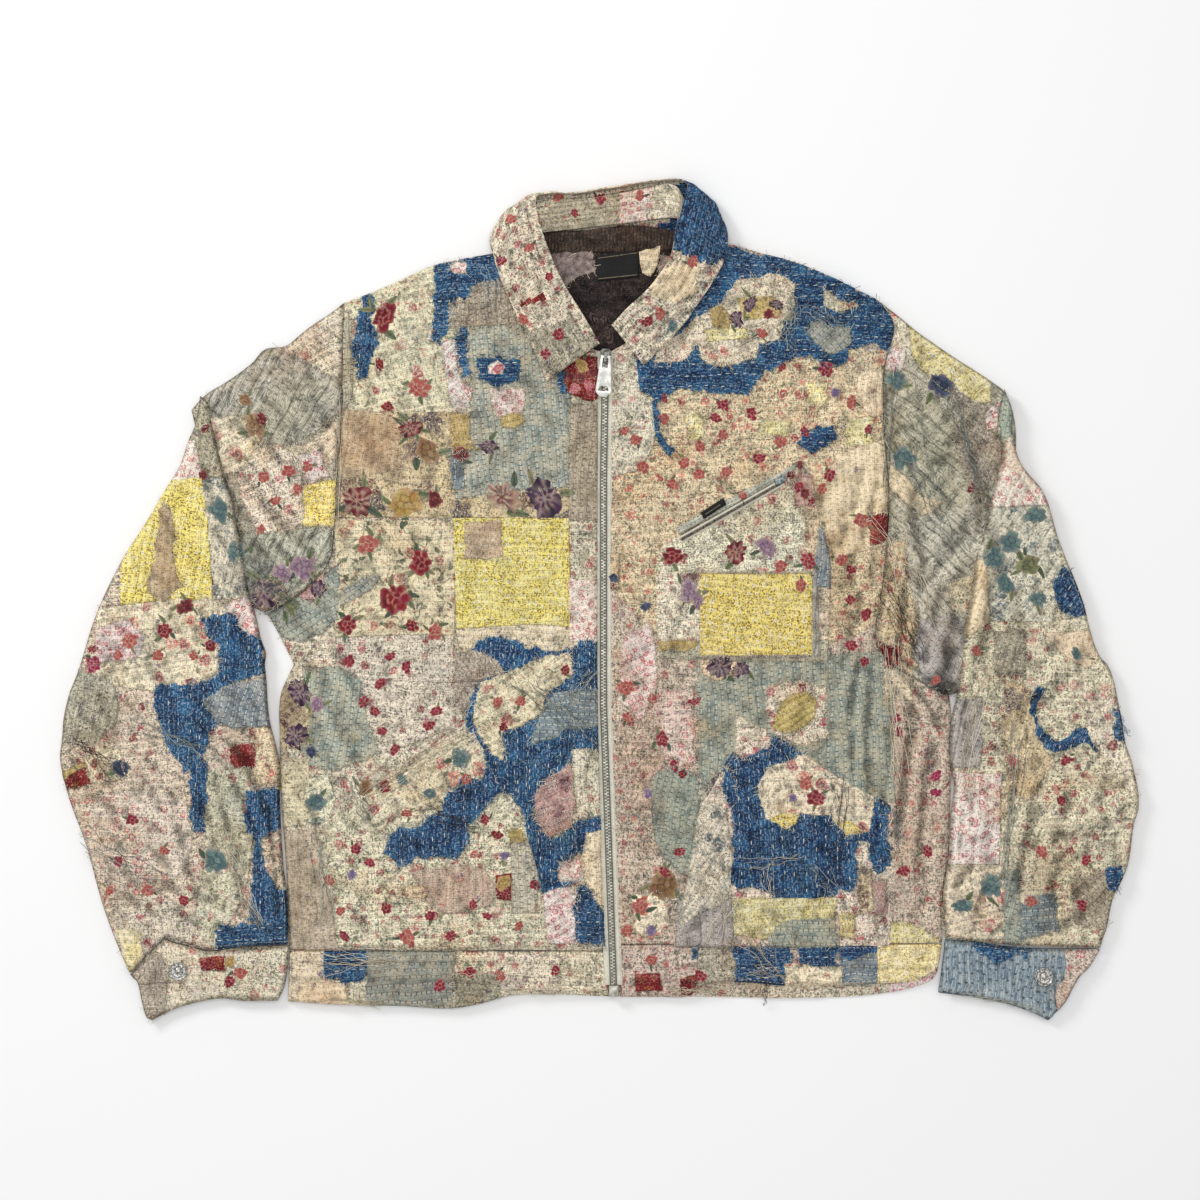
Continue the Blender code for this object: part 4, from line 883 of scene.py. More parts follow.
patchRows = """
body
leafy 1 .4 8 -230,259 -203,268 -174,279 -144,292 -133,262 -126,231 -120,164 -174,163 -226,164
wornStripe 2 .8 90 -230,244 -216,248 -214,199 -216,171 -231,168
indigo 2 1.6 90 -203,269 -212,239 -217,218 -212,194 -202,193 -197,213 -191,223 -198,241 -198,262
indigo 2 1.4 0 -144,292 -118,298 -90,305 -85,278 -106,276 -116,262 -131,261 -131,240 -138,222 -146,224
-144,262
ring 3 .8 20 -131,290 -124,295 -115,293 -116,284 -127,284
taupe 2 .9 90 -116,262 -106,276 -85,279 -71,239 -130,237 -131,258
chambray 1 .8 90 -130,237 -71,240 -52,217 -38,192 -27,179 -26,97 -65,97 -126,88 -130,140 -114,164 -114,223
indigo 2 1.4 0 -124,236 -116,236 -113,196 -121,193 -126,223
ring 2 1.0 35 -138,225 -126,227 -121,194 -110,184 -113,168 -128,164 -134,192
indigo 3 1.4 0 -106,211 -87,214 -85,209 -70,208 -72,192 -92,187 -106,192
ring 4 .6 50 -97,204 -89,208 -82,203 -84,197 -96,198
ring 2 1.2 10 -95,185 -64,184 -66,164 -87,158 -93,170
olive 3 .8 15 -132,164 -113,162 -113,143 -107,131 -126,130 -131,140
olive 3 .8 15 -87,160 -70,162 -64,157 -74,149 -84,151
indigo 3 1.2 0 -38,198 -24,200 -25,183 -34,181
redGold 3 .7 20 -30,204 -24,213 -10,212 0,210 1,178 -7,174 -19,177 -29,181
brownTan 1 1.4 90 -232,167 -174,164 -168,140 -172,112 -222,105 -234,123
ink 1 .3 0 -228,105 -172,114 -174,164 -130,164 -130,131 -126,88 -26,99 -26,72 -228,72
fadedDenim 3 .9 90 -130,130 -119,127 -117,98 -129,97
yellow 2 .8 0 -254,102 -229,105 -230,67 -256,69
bigRose 2 .2 4 -230,70 -126,-31
chambray 3 .8 35 -228,6 -216,14 -202,21 -190,22 -195,13 -209,4 -224,-4
yellow 2 .2 0 -127,72 -27,72 -26,-23 -125,-24
brownTan 3 .9 0 -118,68 -86,70 -84,39 -97,36 -117,37
dots 1 .3 0 -125,-24 -26,-23 0,-34 -26,-44 -63,-43 -122,-47
wornStripe 1 .2 90 -27,171 0,70
ring 2 .7 12 -27,20 -1,18 -1,-35 -26,-35
roseDitsy 1 .5 0 -229,-31 -127,-29 -125,-110 -139,-114 -193,-133 -222,-131 -228,-86
chambray 2 1.2 90 -256,-58 -227,-58 -207,-69 -202,-104 -190,-131 -226,-145 -256,-144 -261,-99
indigo 3 1.5 90 -124,-47 -101,-35 -80,-33 -63,-41 -27,-42 -17,-37 0,-34 2,-136 -22,-136 -35,-144 -45,-164
-57,-164 -66,-173 -84,-164 -96,-173 -104,-184 -115,-196 -113,-210 -126,-224 -152,-223 -174,-231 -186,-218
-184,-201 -165,-196 -146,-189 -138,-178 -133,-167 -120,-158 -104,-154 -97,-140 -104,-121 -117,-105 -110,-77
-103,-71 -113,-69
taupe 4 1.2 0 -125,-47 -113,-43 -91,-51 -83,-62 -104,-70 -113,-86 -120,-98 -126,-86
leafy 4 1.1 30 -103,-71 -80,-62 -61,-54 -44,-47 -25,-45 -24,-64 -38,-75 -48,-84 -50,-97 -70,-109 -84,-111
-84,-125 -84,-138 -95,-131 -108,-110 -110,-96
fadedDenim 4 1.4 0 -48,-90 -36,-79 -22,-79 1,-75 1,-109 -22,-110 -48,-121 -61,-125 -56,-110
plumRose 3 1.0 20 -56,-160 -42,-145 -27,-139 -22,-173 -26,-198 -48,-205 -57,-186
ditsyPale 2 .4 90 -25,-128 3,-128 3,-186 -20,-189
indigo 2 1.4 90 -84,-138 -27,-136 -27,-142 -51,-158 -57,-186 -51,-203 -38,-206 -20,-192 3,-186 3,-198
-10,-206 -12,-217 -24,-224 -35,-229 -36,-240 -20,-243 -48,-253 -54,-251 -64,-217 -70,-181 -87,-156
ring 2 1.0 60 -36,-227 -22,-224 -10,-227 -12,-243 -35,-243
ring 2 .8 30 -50,-254 -35,-248 -20,-251 -19,-297 -48,-297
indigo 2 1.3 0 -16,-243 -7,-254 7,-275 7,-297 -20,-297 -22,-264
dots 1 .3 90 -12,-201 4,-198 6,-275 -7,-254 -16,-234
greyGreen 1 1.6 30 -294,1 -251,16 -226,34 -228,-16 -252,-34 -277,-31
plumRose 2 1.0 0 -263,29 -242,32 -238,10 -251,-1 -261,4
ink 2 1.4 40 -282,-77 -261,-70 -251,-88 -254,-123 -282,-130
dots 1 .8 0 -284,-138 -253,-136 -252,-194 -282,-196
teal 2 .8 20 -256,-156 -237,-150 -230,-173 -238,-196 -253,-192
dustyPink 1 1.0 90 -282,-201 -245,-198 -235,-243 -228,-304 -282,-304
indigo 2 1.5 0 97,318 118,306 139,300 166,296 188,286 213,276 241,262 265,243 258,223 249,218 235,225
217,219 215,210 199,204 188,211 170,210 156,203 139,195 130,178 106,180 87,183 64,181 55,178 50,168 52,149
64,129 52,136 46,149 44,178 33,184 29,208 87,262
ditsyPale 3 .8 30 46,207 55,223 69,232 82,218 70,208
ditsyPale 3 1.0 10 108,262 118,276 139,281 156,284 169,274 169,258 167,244 159,242 156,226 139,223 137,211
101,204 88,211 84,224 70,218 69,232 82,245 96,253
olive 4 .7 20 95,253 106,257 115,246 112,236 99,238
olive 4 .6 0 120,263 150,264 158,255 155,247 124,244
straw 4 .5 0 91,235 127,237 128,228 93,225
ditsyPale 3 1.0 0 193,273 205,264 224,258 224,255 207,251 195,255
greyGreen 3 1.6 50 184,243 217,237 216,219 199,216 178,232
straw 1 1.6 0 73,164 87,165 89,142 77,140
straw 1 1.6 0 179,190 198,190 197,171 180,170
straw 1 1.6 0 212,160 238,159 236,134 214,135
straw 1 1.6 0 138,157 164,155 163,144 139,144
tan 1 1.4 90 219,199 247,201 248,161 237,160 226,175
tan 1 .5 90 205,127 247,140 252,88 249,49 204,36 193,88
indigo 3 1.0 0 171,138 183,148 202,153 204,141 193,133 183,128
redGold 2 .8 0 233,75 252,77 251,53 235,48
ink 2 .5 15 5,43 17,41 16,10 5,10
ditsyPale 1 .4 0 9,217 30,218 35,179 45,175 47,140 35,114 10,107
ring 1 1.2 25 19,-34 44,-16 48,-77 35,-104 16,-86
chambray 1 1.2 90 84,-53 252,-43 256,-175 244,-175 171,-130 161,-114 149,-131 114,-134 112,-178 87,-178
ink 2 1.2 0 84,-52 118,-52 117,-64 100,-68 87,-62
roseDitsy 2 1.5 0 144,-77 165,-69 197,-76 198,-117 174,-126 157,-117 146,-102
olive 3 .9 30 150,-110 153,-95 164,-83 179,-78 188,-84 186,-100 174,-111 160,-114
ditsyPale 2 .9 10 118,-100 144,-112 148,-131 126,-138 116,-134
blackWeave 3 1.6 90 108,-144 116,-147 118,-178 92,-178 95,-156
teal 2 .5 60 87,-178 108,-182 114,-218 112,-256 69,-281 78,-225
greyLilac 1 .8 90 67,-256 116,-255 116,-300 66,-300
greyGreen 1 1.0 80 44,-154 63,-144 85,-152 84,-225 78,-241 52,-217
leafy 1 1.2 10 28,-256 52,-251 63,-278 44,-295 30,-286
ringDitsy 1 1.2 0 44,-77 80,-77 83,-140 63,-144 49,-121
greyLilac 2 .8 90 247,-178 258,-184 260,-218 251,-218
straw 2 .8 0 240,-282 265,-279 294,-293 296,-300 240,-300
redGold 2 1.0 0 246,-38 264,-41 261,-56 247,-58
dots 1 .8 20 247,-60 270,-58 271,-86 247,-84
pocketLeft
dots 1 .4 0 -231,-144 -218,-130 -170,-121 -169,-152 -187,-161 -211,-173 -231,-184
leafy 2 .6 25 -181,-149 -139,-123 -104,-109 -94,-144 -98,-152 -122,-164 -140,-178 -174,-186 -194,-203
-219,-189 -212,-173
fadedDenim 3 .8 0 -129,-134 -120,-129 -111,-133 -115,-142 -126,-144
dustyPink 2 1.2 90 -161,-236 -148,-232 -104,-232 -90,-247 -96,-265 -139,-268 -152,-256
redGold 3 .5 20 -90,-238 -77,-236 -77,-260 -90,-258
ink 3 1.2 0 -171,-248 -158,-246 -147,-250 -150,-258 -167,-258
wornStripe 2 .4 90 -77,-204 -62,-210 -54,-234 -56,-270 -77,-270
olive 3 .7 0 -80,-198 -68,-198 -66,-209 -78,-210
pocketRight
indigo 2 1.3 90 108,-130 124,-136 139,-131 149,-126 149,-116 161,-116 173,-125 179,-135 261,-173 251,-184
248,-196 251,-215 253,-229 244,-236 235,-233 233,-206 223,-208 221,-218 224,-231 221,-248 210,-252 202,-257
149,-257 141,-251 116,-248 112,-241 116,-218 114,-186 108,-165
leafy 3 1.0 0 144,-144 159,-141 176,-133 200,-144 238,-166 234,-200 214,-203 206,-196 198,-186 188,-186
174,-184 165,-196 144,-188 139,-173 138,-158
yellow 4 1.2 0 146,-186 165,-184 174,-187 165,-197 157,-196
yellow 4 1.2 0 205,-191 218,-191 228,-199 214,-203
straw 3 .5 0 114,-258 206,-257 202,-276 159,-280 144,-293 116,-289
chambray 3 .9 0 159,-279 204,-275 207,-300 146,-300 146,-291
straw 4 .8 0 206,-269 220,-271 221,-293 209,-291
ink 4 1.0 90 224,-232 235,-231 238,-269 226,-271
plumRose 4 1.0 60 235,-243 249,-241 249,-272 238,-274
greyLilac 3 1.0 90 66,-260 114,-258 116,-300 64,-300
teal 3 .5 60 87,-173 108,-178 114,-218 112,-258 69,-281 78,-225
chestPocket
roseDitsy 1 .3 5 48,53 200,114 202,25 48,25
ditsyWarm 2 .4 0 177,116 188,88 190,25 178,25
fadedDenim 3 .6 90 190,64 202,60 202,11 185,13
plumRose 3 1.0 0 165,110 184,112 187,83 170,81
wornStripe 2 .3 90 48,-34 202,-55
olive 3 1.4 0 49,-27 63,-24 84,-25 84,-43 52,-43
ditsyPale 2 .4 0 48,25 87,26 87,-34 48,-34
plumRose 3 1.2 40 70,24 86,26 85,-1 71,-1
patchPocket
wornStripe 2 .2 0 83,29 193,24
greyLilac 2 .3 90 184,29 193,-53
taupe 2 .3 0 83,-47 193,-55
upperLeft
ditsyPale 1 .8 30 -261,233 -222,262 -218,236 -218,199 -245,189 -270,199 -283,217
tangle 1 1.0 60 -329,217 -294,223 -261,211 -226,189 -223,168 -251,144 -278,135 -320,140 -338,158 -339,192
dots 1 1.0 50 -275,133 -251,138 -222,164 -222,130 -245,114 -273,110
ring 2 1.0 0 -261,127 -242,131 -235,109 -256,100
yellow 2 .8 0 -257,100 -224,107 -224,64 -259,65
roseDitsy 2 1.2 20 -317,126 -280,135 -259,121 -258,70 -287,46 -304,70
tangle 2 1.6 70 -313,56 -270,62 -231,64 -231,34 -261,10 -289,-4 -310,1
ink 3 1.4 60 -301,10 -283,23 -271,8 -287,-8 -299,-10
leafy 2 1.2 20 -344,158 -313,158 -294,140 -313,114 -329,109
foreLeft
ditsyGrey 1 .5 80 -355,179 -340,173 -331,140 -324,107 -345,105 -360,140
ring 1 .5 80 -360,140 -351,139 -344,106 -378,102
yellow 2 .3 80 -376,104 -345,107 -340,75 -337,36 -336,1 -374,-6 -416,-3 -414,36 -398,66
brownTan 3 1.4 80 -379,88 -371,74 -369,36 -362,14 -378,-1 -393,10 -384,49
teal 2 .6 75 -344,107 -324,107 -311,49 -302,3 -335,1 -338,49
ring 2 .8 60 -325,-3 -303,5 -291,-30 -313,-34 -322,-18
leafy 1 1.0 10 -435,-6 -336,1 -325,-3 -320,-18 -348,-25 -336,-34 -329,-58 -348,-72 -392,-77 -444,-69
ring 2 1.2 10 -437,-24 -411,-16 -395,-30 -400,-50 -438,-55
ditsyGrey 1 1.4 80 -459,-58 -425,-67 -416,-86 -425,-112 -442,-124 -472,-121
indigo 2 1.2 85 -348,-16 -329,-11 -315,-11 -311,-27 -294,-32 -287,-62 -318,-72 -322,-79 -318,-97 -338,-114
-348,-148 -360,-148 -374,-125 -383,-102 -386,-72 -348,-72 -329,-62 -329,-43 -338,-30
fadedDenim 3 1.2 80 -344,-86 -321,-74 -289,-65 -285,-107 -313,-110 -334,-105
ditsyWarm 2 .5 80 -304,-110 -282,-109 -275,-158 -299,-159
redGold 3 1.0 20 -466,-154 -449,-145 -433,-145 -435,-154 -449,-161 -463,-163
olive 4 .3 0 -468,-150 -449,-140 -437,-137 -430,-124 -425,-137 -416,-145 -432,-145 -449,-145 -465,-156
ditsyPale 2 1.4 20 -444,-124 -416,-128 -412,-154 -438,-159 -447,-145
redGold 3 1.0 0 -321,-124 -299,-123 -298,-144 -319,-145
ditsyPale 1 .5 80 -352,-149 -304,-144 -301,-199 -308,-251 -334,-302 -348,-286 -343,-217
indigo 3 1.3 85 -356,-138 -341,-140 -342,-173 -344,-201 -355,-198
indigo 3 1.2 85 -307,-164 -275,-163 -275,-196 -294,-204 -289,-234 -268,-260 -268,-282 -304,-278 -301,-234
-301,-206 -307,-198
indigo 3 1.6 0 -333,-283 -270,-278 -268,-302 -332,-302
ringDitsy 1 1.2 0 -452,-173 -400,-164 -357,-173 -357,-225 -392,-260 -439,-243
roseDitsy 1 1.2 0 -426,-260 -383,-251 -348,-278 -357,-304 -409,-312
straw 2 1.6 0 -419,-284 -398,-286 -395,-314 -411,-323
cuffLeft
redGold 2 .8 0 -348,-310 -324,-308 -304,-314 -308,-324 -325,-321 -346,-320
roseDitsy 1 .5 0 -325,-304 -270,-300 -270,-347 -325,-349
taupe 1 .8 0 -409,-323 -383,-304 -376,-317 -378,-360 -393,-364
upperRight
straw 2 .6 35 265,240 274,238 307,214 339,192 339,173 324,171 271,213
ditsyPale 1 .6 30 240,264 265,246 271,213 252,217
ring 2 1.0 0 249,223 265,218 263,199 247,201
taupe 2 1.4 60 303,188 326,173 350,166 348,114 326,88 309,131
ring 3 .6 20 334,163 346,173 353,166 348,152 336,149
tan 2 .8 60 247,121 265,109 278,91 298,86 283,73 265,86 247,104
tangle 1 1.4 -40 265,70 335,88 331,1 313,-60 278,-34 265,18
ditsyWarm 1 1.0 75 244,49 265,53 271,1 287,-43 270,-65 240,-43
greyLilac 2 1.8 60 277,-18 304,-10 336,-34 326,-77 291,-79 274,-56
redGold 3 .8 0 238,-38 262,-39 260,-56 240,-55
ditsyPale 2 1.2 70 303,18 324,23 318,-10 304,-10
foreRight
greyGreen 1 .6 70 343,188 355,185 360,144 348,131
ring 2 .5 60 348,132 358,145 367,120 387,94 390,83 336,81 339,90
teal 2 .4 60 334,81 390,82 397,53 400,23 392,-18 326,-19 313,-22 324,31 332,62
tan 3 .3 70 318,36 334,36 338,-18 313,-34
indigo 3 1.2 60 393,20 402,29 412,24 425,-13 405,-14 395,-1
tan 2 .4 10 386,-28 432,-25 430,-51 421,-58 402,-47
taupe 2 .9 70 342,-27 368,-24 369,-65 341,-63
greyLilac 2 .8 80 303,-86 331,-84 330,-143 303,-144
indigo 3 .6 70 379,-74 385,-76 380,-88 379,-102 384,-114 395,-121 405,-118 412,-110 425,-110 433,-107
439,-115 437,-128 430,-130 421,-123 409,-127 393,-130 381,-124 373,-110 372,-90
ink 2 1.6 70 352,-69 372,-77 379,-118 392,-138 374,-173 353,-164 348,-121
ring 2 .5 80 306,-148 348,-150 346,-229 299,-228 303,-186
leafy 2 1.2 20 299,-231 348,-231 357,-269 335,-295 299,-291
roseDitsy 1 1.2 0 418,-77 457,-86 465,-173 444,-147 422,-112
taupe 2 1.5 40 409,-243 451,-232 445,-264 438,-286 409,-278
fadedDenim 2 1.6 0 357,-264 393,-251 400,-286 365,-295
indigo 4 1.4 0 444,-93 456,-97 468,-109 461,-123 447,-118
indigo 3 1.4 0 438,-232 454,-229 454,-253 440,-251
greyGreen 2 .8 80 351,-234 364,-299
cuffRight
indigo 3 1.6 0 325,-296 374,-301 371,-311 353,-309 343,-314 331,-307
ringDitsy 2 .4 30 402,-300 437,-300 425,-319 411,-338 397,-356 395,-340 404,-324
bandLeft
dots 1 .4 0 -273,-302 -239,-351
indigo 2 1.3 0 -241,-302 -201,-302 -202,-326 -218,-330 -238,-328
chambray 1 .8 0 -202,-302 -126,-302 -128,-358 -202,-356
tan 2 .8 0 -261,-330 -222,-332 -216,-354 -261,-352
roseDitsy 1 .4 0 -87,-300 -35,-300 -35,-345 -87,-347
ditsyGrey 2 .8 0 -126,-325 -87,-323 -87,-352 -126,-356
bandRight
redGold 2 .6 0 30,-324 52,-323 54,-338 31,-339
redGold 2 .6 0 69,-328 83,-325 84,-343 70,-342
indigo 2 .9 0 79,-297 92,-297 92,-310 80,-311
ditsyGrey 1 .5 0 85,-296 118,-338
fadedDenim 1 .6 0 206,-296 241,-296 242,-333 210,-335
indigo 2 1.2 0 116,-298 165,-298 165,-314 160,-334 139,-337 118,-333
indigo 2 1.3 0 170,-296 207,-296 205,-318 187,-316 171,-312
indigo 2 1.3 0 207,-293 240,-293 239,-304 224,-309 209,-307
leafy 1 .8 0 161,-315 210,-318 210,-337 161,-337
straw 1 .5 0 241,-293 299,-293 299,-314 274,-330 241,-332
"""


def readCorners(words):
    return [tuple(int(value) for value in word.split(",")) for word in words]


def readOutlines():
    table = {}
    for words in (line.split() for line in outlineRows.strip().splitlines()):
        if words[0][0].isalpha():
            corners = table[words.pop(0)] = []
        corners += readCorners(words)
    return table


def readPatches():
    table = {}
    for words in (line.split() for line in patchRows.strip().splitlines()):
        if not words[0][0].isalpha():
            corners += readCorners(words)
        elif len(words) == 1:
            rows = table[words[0]] = []
        else:
            corners = readCorners(words[4:])
            if len(corners) == 2:
                (left, top), (right, bottom) = corners
                corners = [(left, top), (right, top), (right, bottom), (left, bottom)]
            rows.append((words[0], int(words[1]), float(words[2]), int(words[3]), corners))
    return table


outlines = readOutlines()
patchTable = readPatches()


# Body: two fronts, the back, the waistband

fineness = 2.5


def hiddenPatches(x0, y0, x1, y1, size, seed):
    # squares of many cloths for the sides that face the ground
    draw = random.Random(seed)
    kinds = ("ditsy ditsyPale ditsyWarm roseDitsy yellow indigo chambray taupe leafy dots ring bigRose "
             "fadedDenim greyGreen").split()
    table = []
    y = y0
    while y < y1:
        tall = size * draw.uniform(0.7, 1.3)
        x = x0 - size * draw.uniform(0, 0.8)
        while x < x1:
            wide = size * draw.uniform(0.7, 1.5)
            if draw.random() < 0.62:
                fabric = draw.choice(kinds)
                across = ((0, 0), (0.5, 0), (1, 0), (1, 0.5), (1, 1), (0.5, 1), (0, 1))
                stray = size * 0.08
                corners = [(x + wide * a + draw.uniform(-stray, stray),
                            y + tall * b + draw.uniform(-stray, stray))
                           for a, b in across]
                ragged = 1.3 if fabric == "indigo" else 0.5
                table.append((fabric, draw.choice((1, 2)), ragged, draw.choice((0, 90)), corners))
            x += wide
        y += tall
    return table


clothSheet("frontLeft", outlines["frontLeft"], "ditsy", patchTable["body"], bodyHeight, fineness, 3)
warmChest = [(12, 195), (40, 212), (150, 230), (248, 215), (246, 100), (246, 0), (232, -24), (150, -44),
             (70, -40), (40, -20),
             (14, 10), (12, 100)]
clothSheet("frontRight", outlines["frontRight"], "ditsyPink",
           [("ditsyWarm", 0, 1.6, 0, warmChest), *patchTable["body"]],
           bodyHeight, fineness, 4)


def backHeight(x, y, edge):
    outer = 1.0 - rounded(edge, 5.0)
    crumple = np.abs(ripples(23, x, y, ((0.16, 30, 4, None), (0.1, 14, 4, None))))
    return 1.05 + neckLift(y) * 0.96 + outer * (seamLow - 1.05) + crumple


def bandHeight(x, y, edge):
    top = 6.3 + ripples(41, x, y, ((0.45, 26, 4, 5), (0.16, 11, 5, None)))
    seams = sum(np.exp(-((y + level + 0.01 * x) / 1.4) ** 2) for level in (316, 331))
    return seamLow + (top - 0.5 * seams - seamLow) * rounded(edge, 3.4)


def bandBackTop(x, y, edge):
    return 1.1 + 1.0 * rounded(edge, 3.0)


def bandBackUnder(x, y, edge):
    return 1.1 - 0.9 * rounded(edge, 3.0)


clothSheet("backPanel", outlines["back"], "ditsy", hiddenPatches(-290, -310, 310, 320, 95, 8), backHeight,
           fineness * 1.35, 6,
           facing=-1)
clothSheet("waistbandLeft", outlines["bandLeft"], "ditsy", patchTable["bandLeft"], bandHeight,
           fineness * 0.9, 14)
clothSheet("waistbandRight", outlines["bandRight"], "ditsyPink", patchTable["bandRight"], bandHeight,
           fineness * 0.9, 15)
clothSheet("waistbandBack", outlines["bandBack"], "ditsy", hiddenPatches(-290, -360, 310, -300, 60, 9),
           bandBackTop,
           fineness * 1.3, 16, edgeDrop=0.0, under=bandBackUnder)
print("body and waistband laid")

# Pieces sewn on the fronts: name, outline, cloth, patches, layer, edge radius, puff, fineness, seed

bodyPatches = patchTable["body"]
bigIndigo = [p for p in bodyPatches if p[0] == "indigo" and len(p[4]) > 30]
besideZip = [p for p in bodyPatches if max(q[0] for q in p[4]) < 12]
for name, outline, fabric, patches, layer, radius, puff, finer, seed in (
        ("handPocketLeft", "pocketLeft", "ditsy", patchTable["pocketLeft"] + bigIndigo, 0,
         2.6, 0.5, 0.95, 24),
        ("handPocketRight", "pocketRight", "ditsy", patchTable["pocketRight"], 0, 2.4, 0.5, 0.95, 25),
        ("frontBand", "frontBand", "ditsy", besideZip, 0, 1.2, 0.1, 0.95, 26),
        ("chestPocket", "chestPocket", "ditsyPale", patchTable["chestPocket"], 0, 2.0, 0.35, 0.9, 27),
        ("chestPatchPocket", "patchPocket", "yellow", patchTable["patchPocket"], 1, 1.6, 0.3, 0.9, 28)):
    clothSheet(name, outlines[outline], fabric, patches, onFront(layer, radius, puff, seed + 27),
               fineness * finer, seed)
clothSheet("chestZipWelt", [(69, 57.2), (161, 108.6), (169, 114), (172, 120), (120, 93), (66, 63.5)],
           "weltRib", [],
           onFront(1, 1.6, 0.2, 56), 2.4, 29, turn=30)
print("pockets laid")

# Sleeves: the upper arm, and the forearm pleated over it

# places down the outer and the inner edge of each sleeve, and how high it stands there
sleeveRows = {
    "left": np.array([
        (-346, 175, -304, -7, 12.5), (-365, 119, -300, -18, 12.0), (-393, 70, -296, -32, 11.0),
        (-417, 32, -291, -50, 10.2), (-438, -13, -290, -70, 9.6), (-455, -63, -287, -98, 9.2),
        (-466, -103, -283, -125, 9.0), (-468, -136, -280, -153, 8.8), (-460, -177, -278, -186, 8.6),
        (-447, -212, -275, -224, 8.4), (-431, -264, -273, -262, 8.2), (-408, -319, -272, -297, 8.0)], float),
    "right": np.array([
        (351, 173, 320, -61, 12.5), (365, 120, 314, -79, 12.0), (398, 54, 311, -99, 11.0),
        (426, -21, 308, -121, 10.2),
        (452, -98, 307, -147, 9.6), (464, -144, 307, -174, 9.2), (468, -178, 307, -199, 9.0),
        (458, -224, 305, -228, 8.8),
        (445, -262, 303, -259, 8.4), (434, -301, 301, -292, 8.0)], float),
}
sleeveCreases = {
    "left": [
        (-330, 150, -250, 60, 10, 7, 2.2), (-322, 110, -236, 20, -8, 6, 2.0),
        (-300, 200, -240, 120, 8, 8, 1.8),
        (-316, 70, -262, 10, 6, 5, 1.8), (-345, 140, -318, 40, 3, 5, 1.4), (-400, 40, -330, 0, 6, 7, 1.6),
        (-450, -70, -300, -130, 12, 9, 1.6), (-462, -140, -330, -200, -10, 8, 1.8),
        (-330, -120, -290, -220, 6, 5, 2.2),
        (-345, -150, -318, -280, 5, 5, 2.0), (-440, -220, -340, -260, 9, 7, 1.7),
        (-380, -160, -350, -280, -5, 6, 1.6),
        (-300, -160, -285, -280, 3, 4, 1.6), (-425, -250, -300, -285, 5, 6, 1.4),
    ],
    "right": [
        (340, 180, 262, 90, -8, 7, 2.4), (345, 140, 256, 20, 9, 8, 2.6), (250, 40, 296, -66, 8, 6, 3.0),
        (256, 90, 318, -50, -10, 7, 2.6), (338, 60, 262, -30, -7, 7, 2.2), (262, 120, 254, -20, 4, 5, 2.0),
        (270, 60, 262, -60, 4, 4, 2.2), (300, 10, 280, -70, 5, 5, 2.2), (330, 0, 305, -70, 4, 6, 2.0),
        (330, 60, 318, -60, 4, 5, 2.0), (420, -20, 330, -100, 10, 8, 1.8), (455, -110, 320, -160, -9, 7, 2.0),
        (460, -170, 350, -200, 8, 7, 2.0), (370, -120, 345, -260, 7, 6, 2.4),
        (400, -150, 385, -280, -6, 6, 2.2),
        (330, -190, 315, -285, 4, 5, 1.8), (450, -230, 380, -280, 6, 6, 1.8), (345, -30, 400, -60, 5, 6, 1.6),
    ],
}
# the ends where a tube is cut open or sewn on, rather than folded
openEnds = {
    "upperLeft": [(-222, 259, -224, 175), (-224, 175, -231, 66), (-231, 66, -235, 36), (-235, 36, -291, -10)],
    "upperRight": [(244, 259, 247, 149), (247, 149, 249, 45), (249, 45, 240, -34), (240, -34, 303, -82)],
    "foreLeft": [(-271, -298, -341, -303), (-341, -303, -378, -292), (-378, -292, -408, -323)],
    "foreRight": [(434, -301, 363, -299), (363, -299, 300, -293)],
    "cuffLeft": [(-408, -324, -378, -293), (-378, -293, -341, -304), (-341, -304, -271, -299),
                 (-280, -347, -329, -345), (-329, -345, -356, -350), (-356, -350, -393, -364)],
    "cuffRight": [(300, -294, 363, -301), (363, -301, 434, -302), (294, -340, 347, -348),
                  (347, -348, 389, -364)],
}


def sleeveLevel(side, x, y):
    rows = sleeveRows[side]
    ahead = rows[:, 2:4] - rows[:, 0:2]
    length = np.hypot(ahead[:, 0], ahead[:, 1])
    sign = 1.0 if side == "left" else -1.0
    passed = np.array([sign * (a[0] * (y - r[1]) - a[1] * (x - r[0])) / n for a, r,
                       n in zip(ahead, rows, length)])
    level = np.full(len(x), rows[0, 4])
    for j in range(len(rows) - 1):
        inSpan = (passed[j] <= 0) & (passed[j + 1] > 0)
        share = passed[j] / np.minimum(passed[j] - passed[j + 1], -1e-6)
        level = np.where(inSpan, rows[j, 4] + share * (rows[j + 1, 4] - rows[j, 4]), level)
    return np.where(passed[-1] <= 0, rows[-1, 4], level)


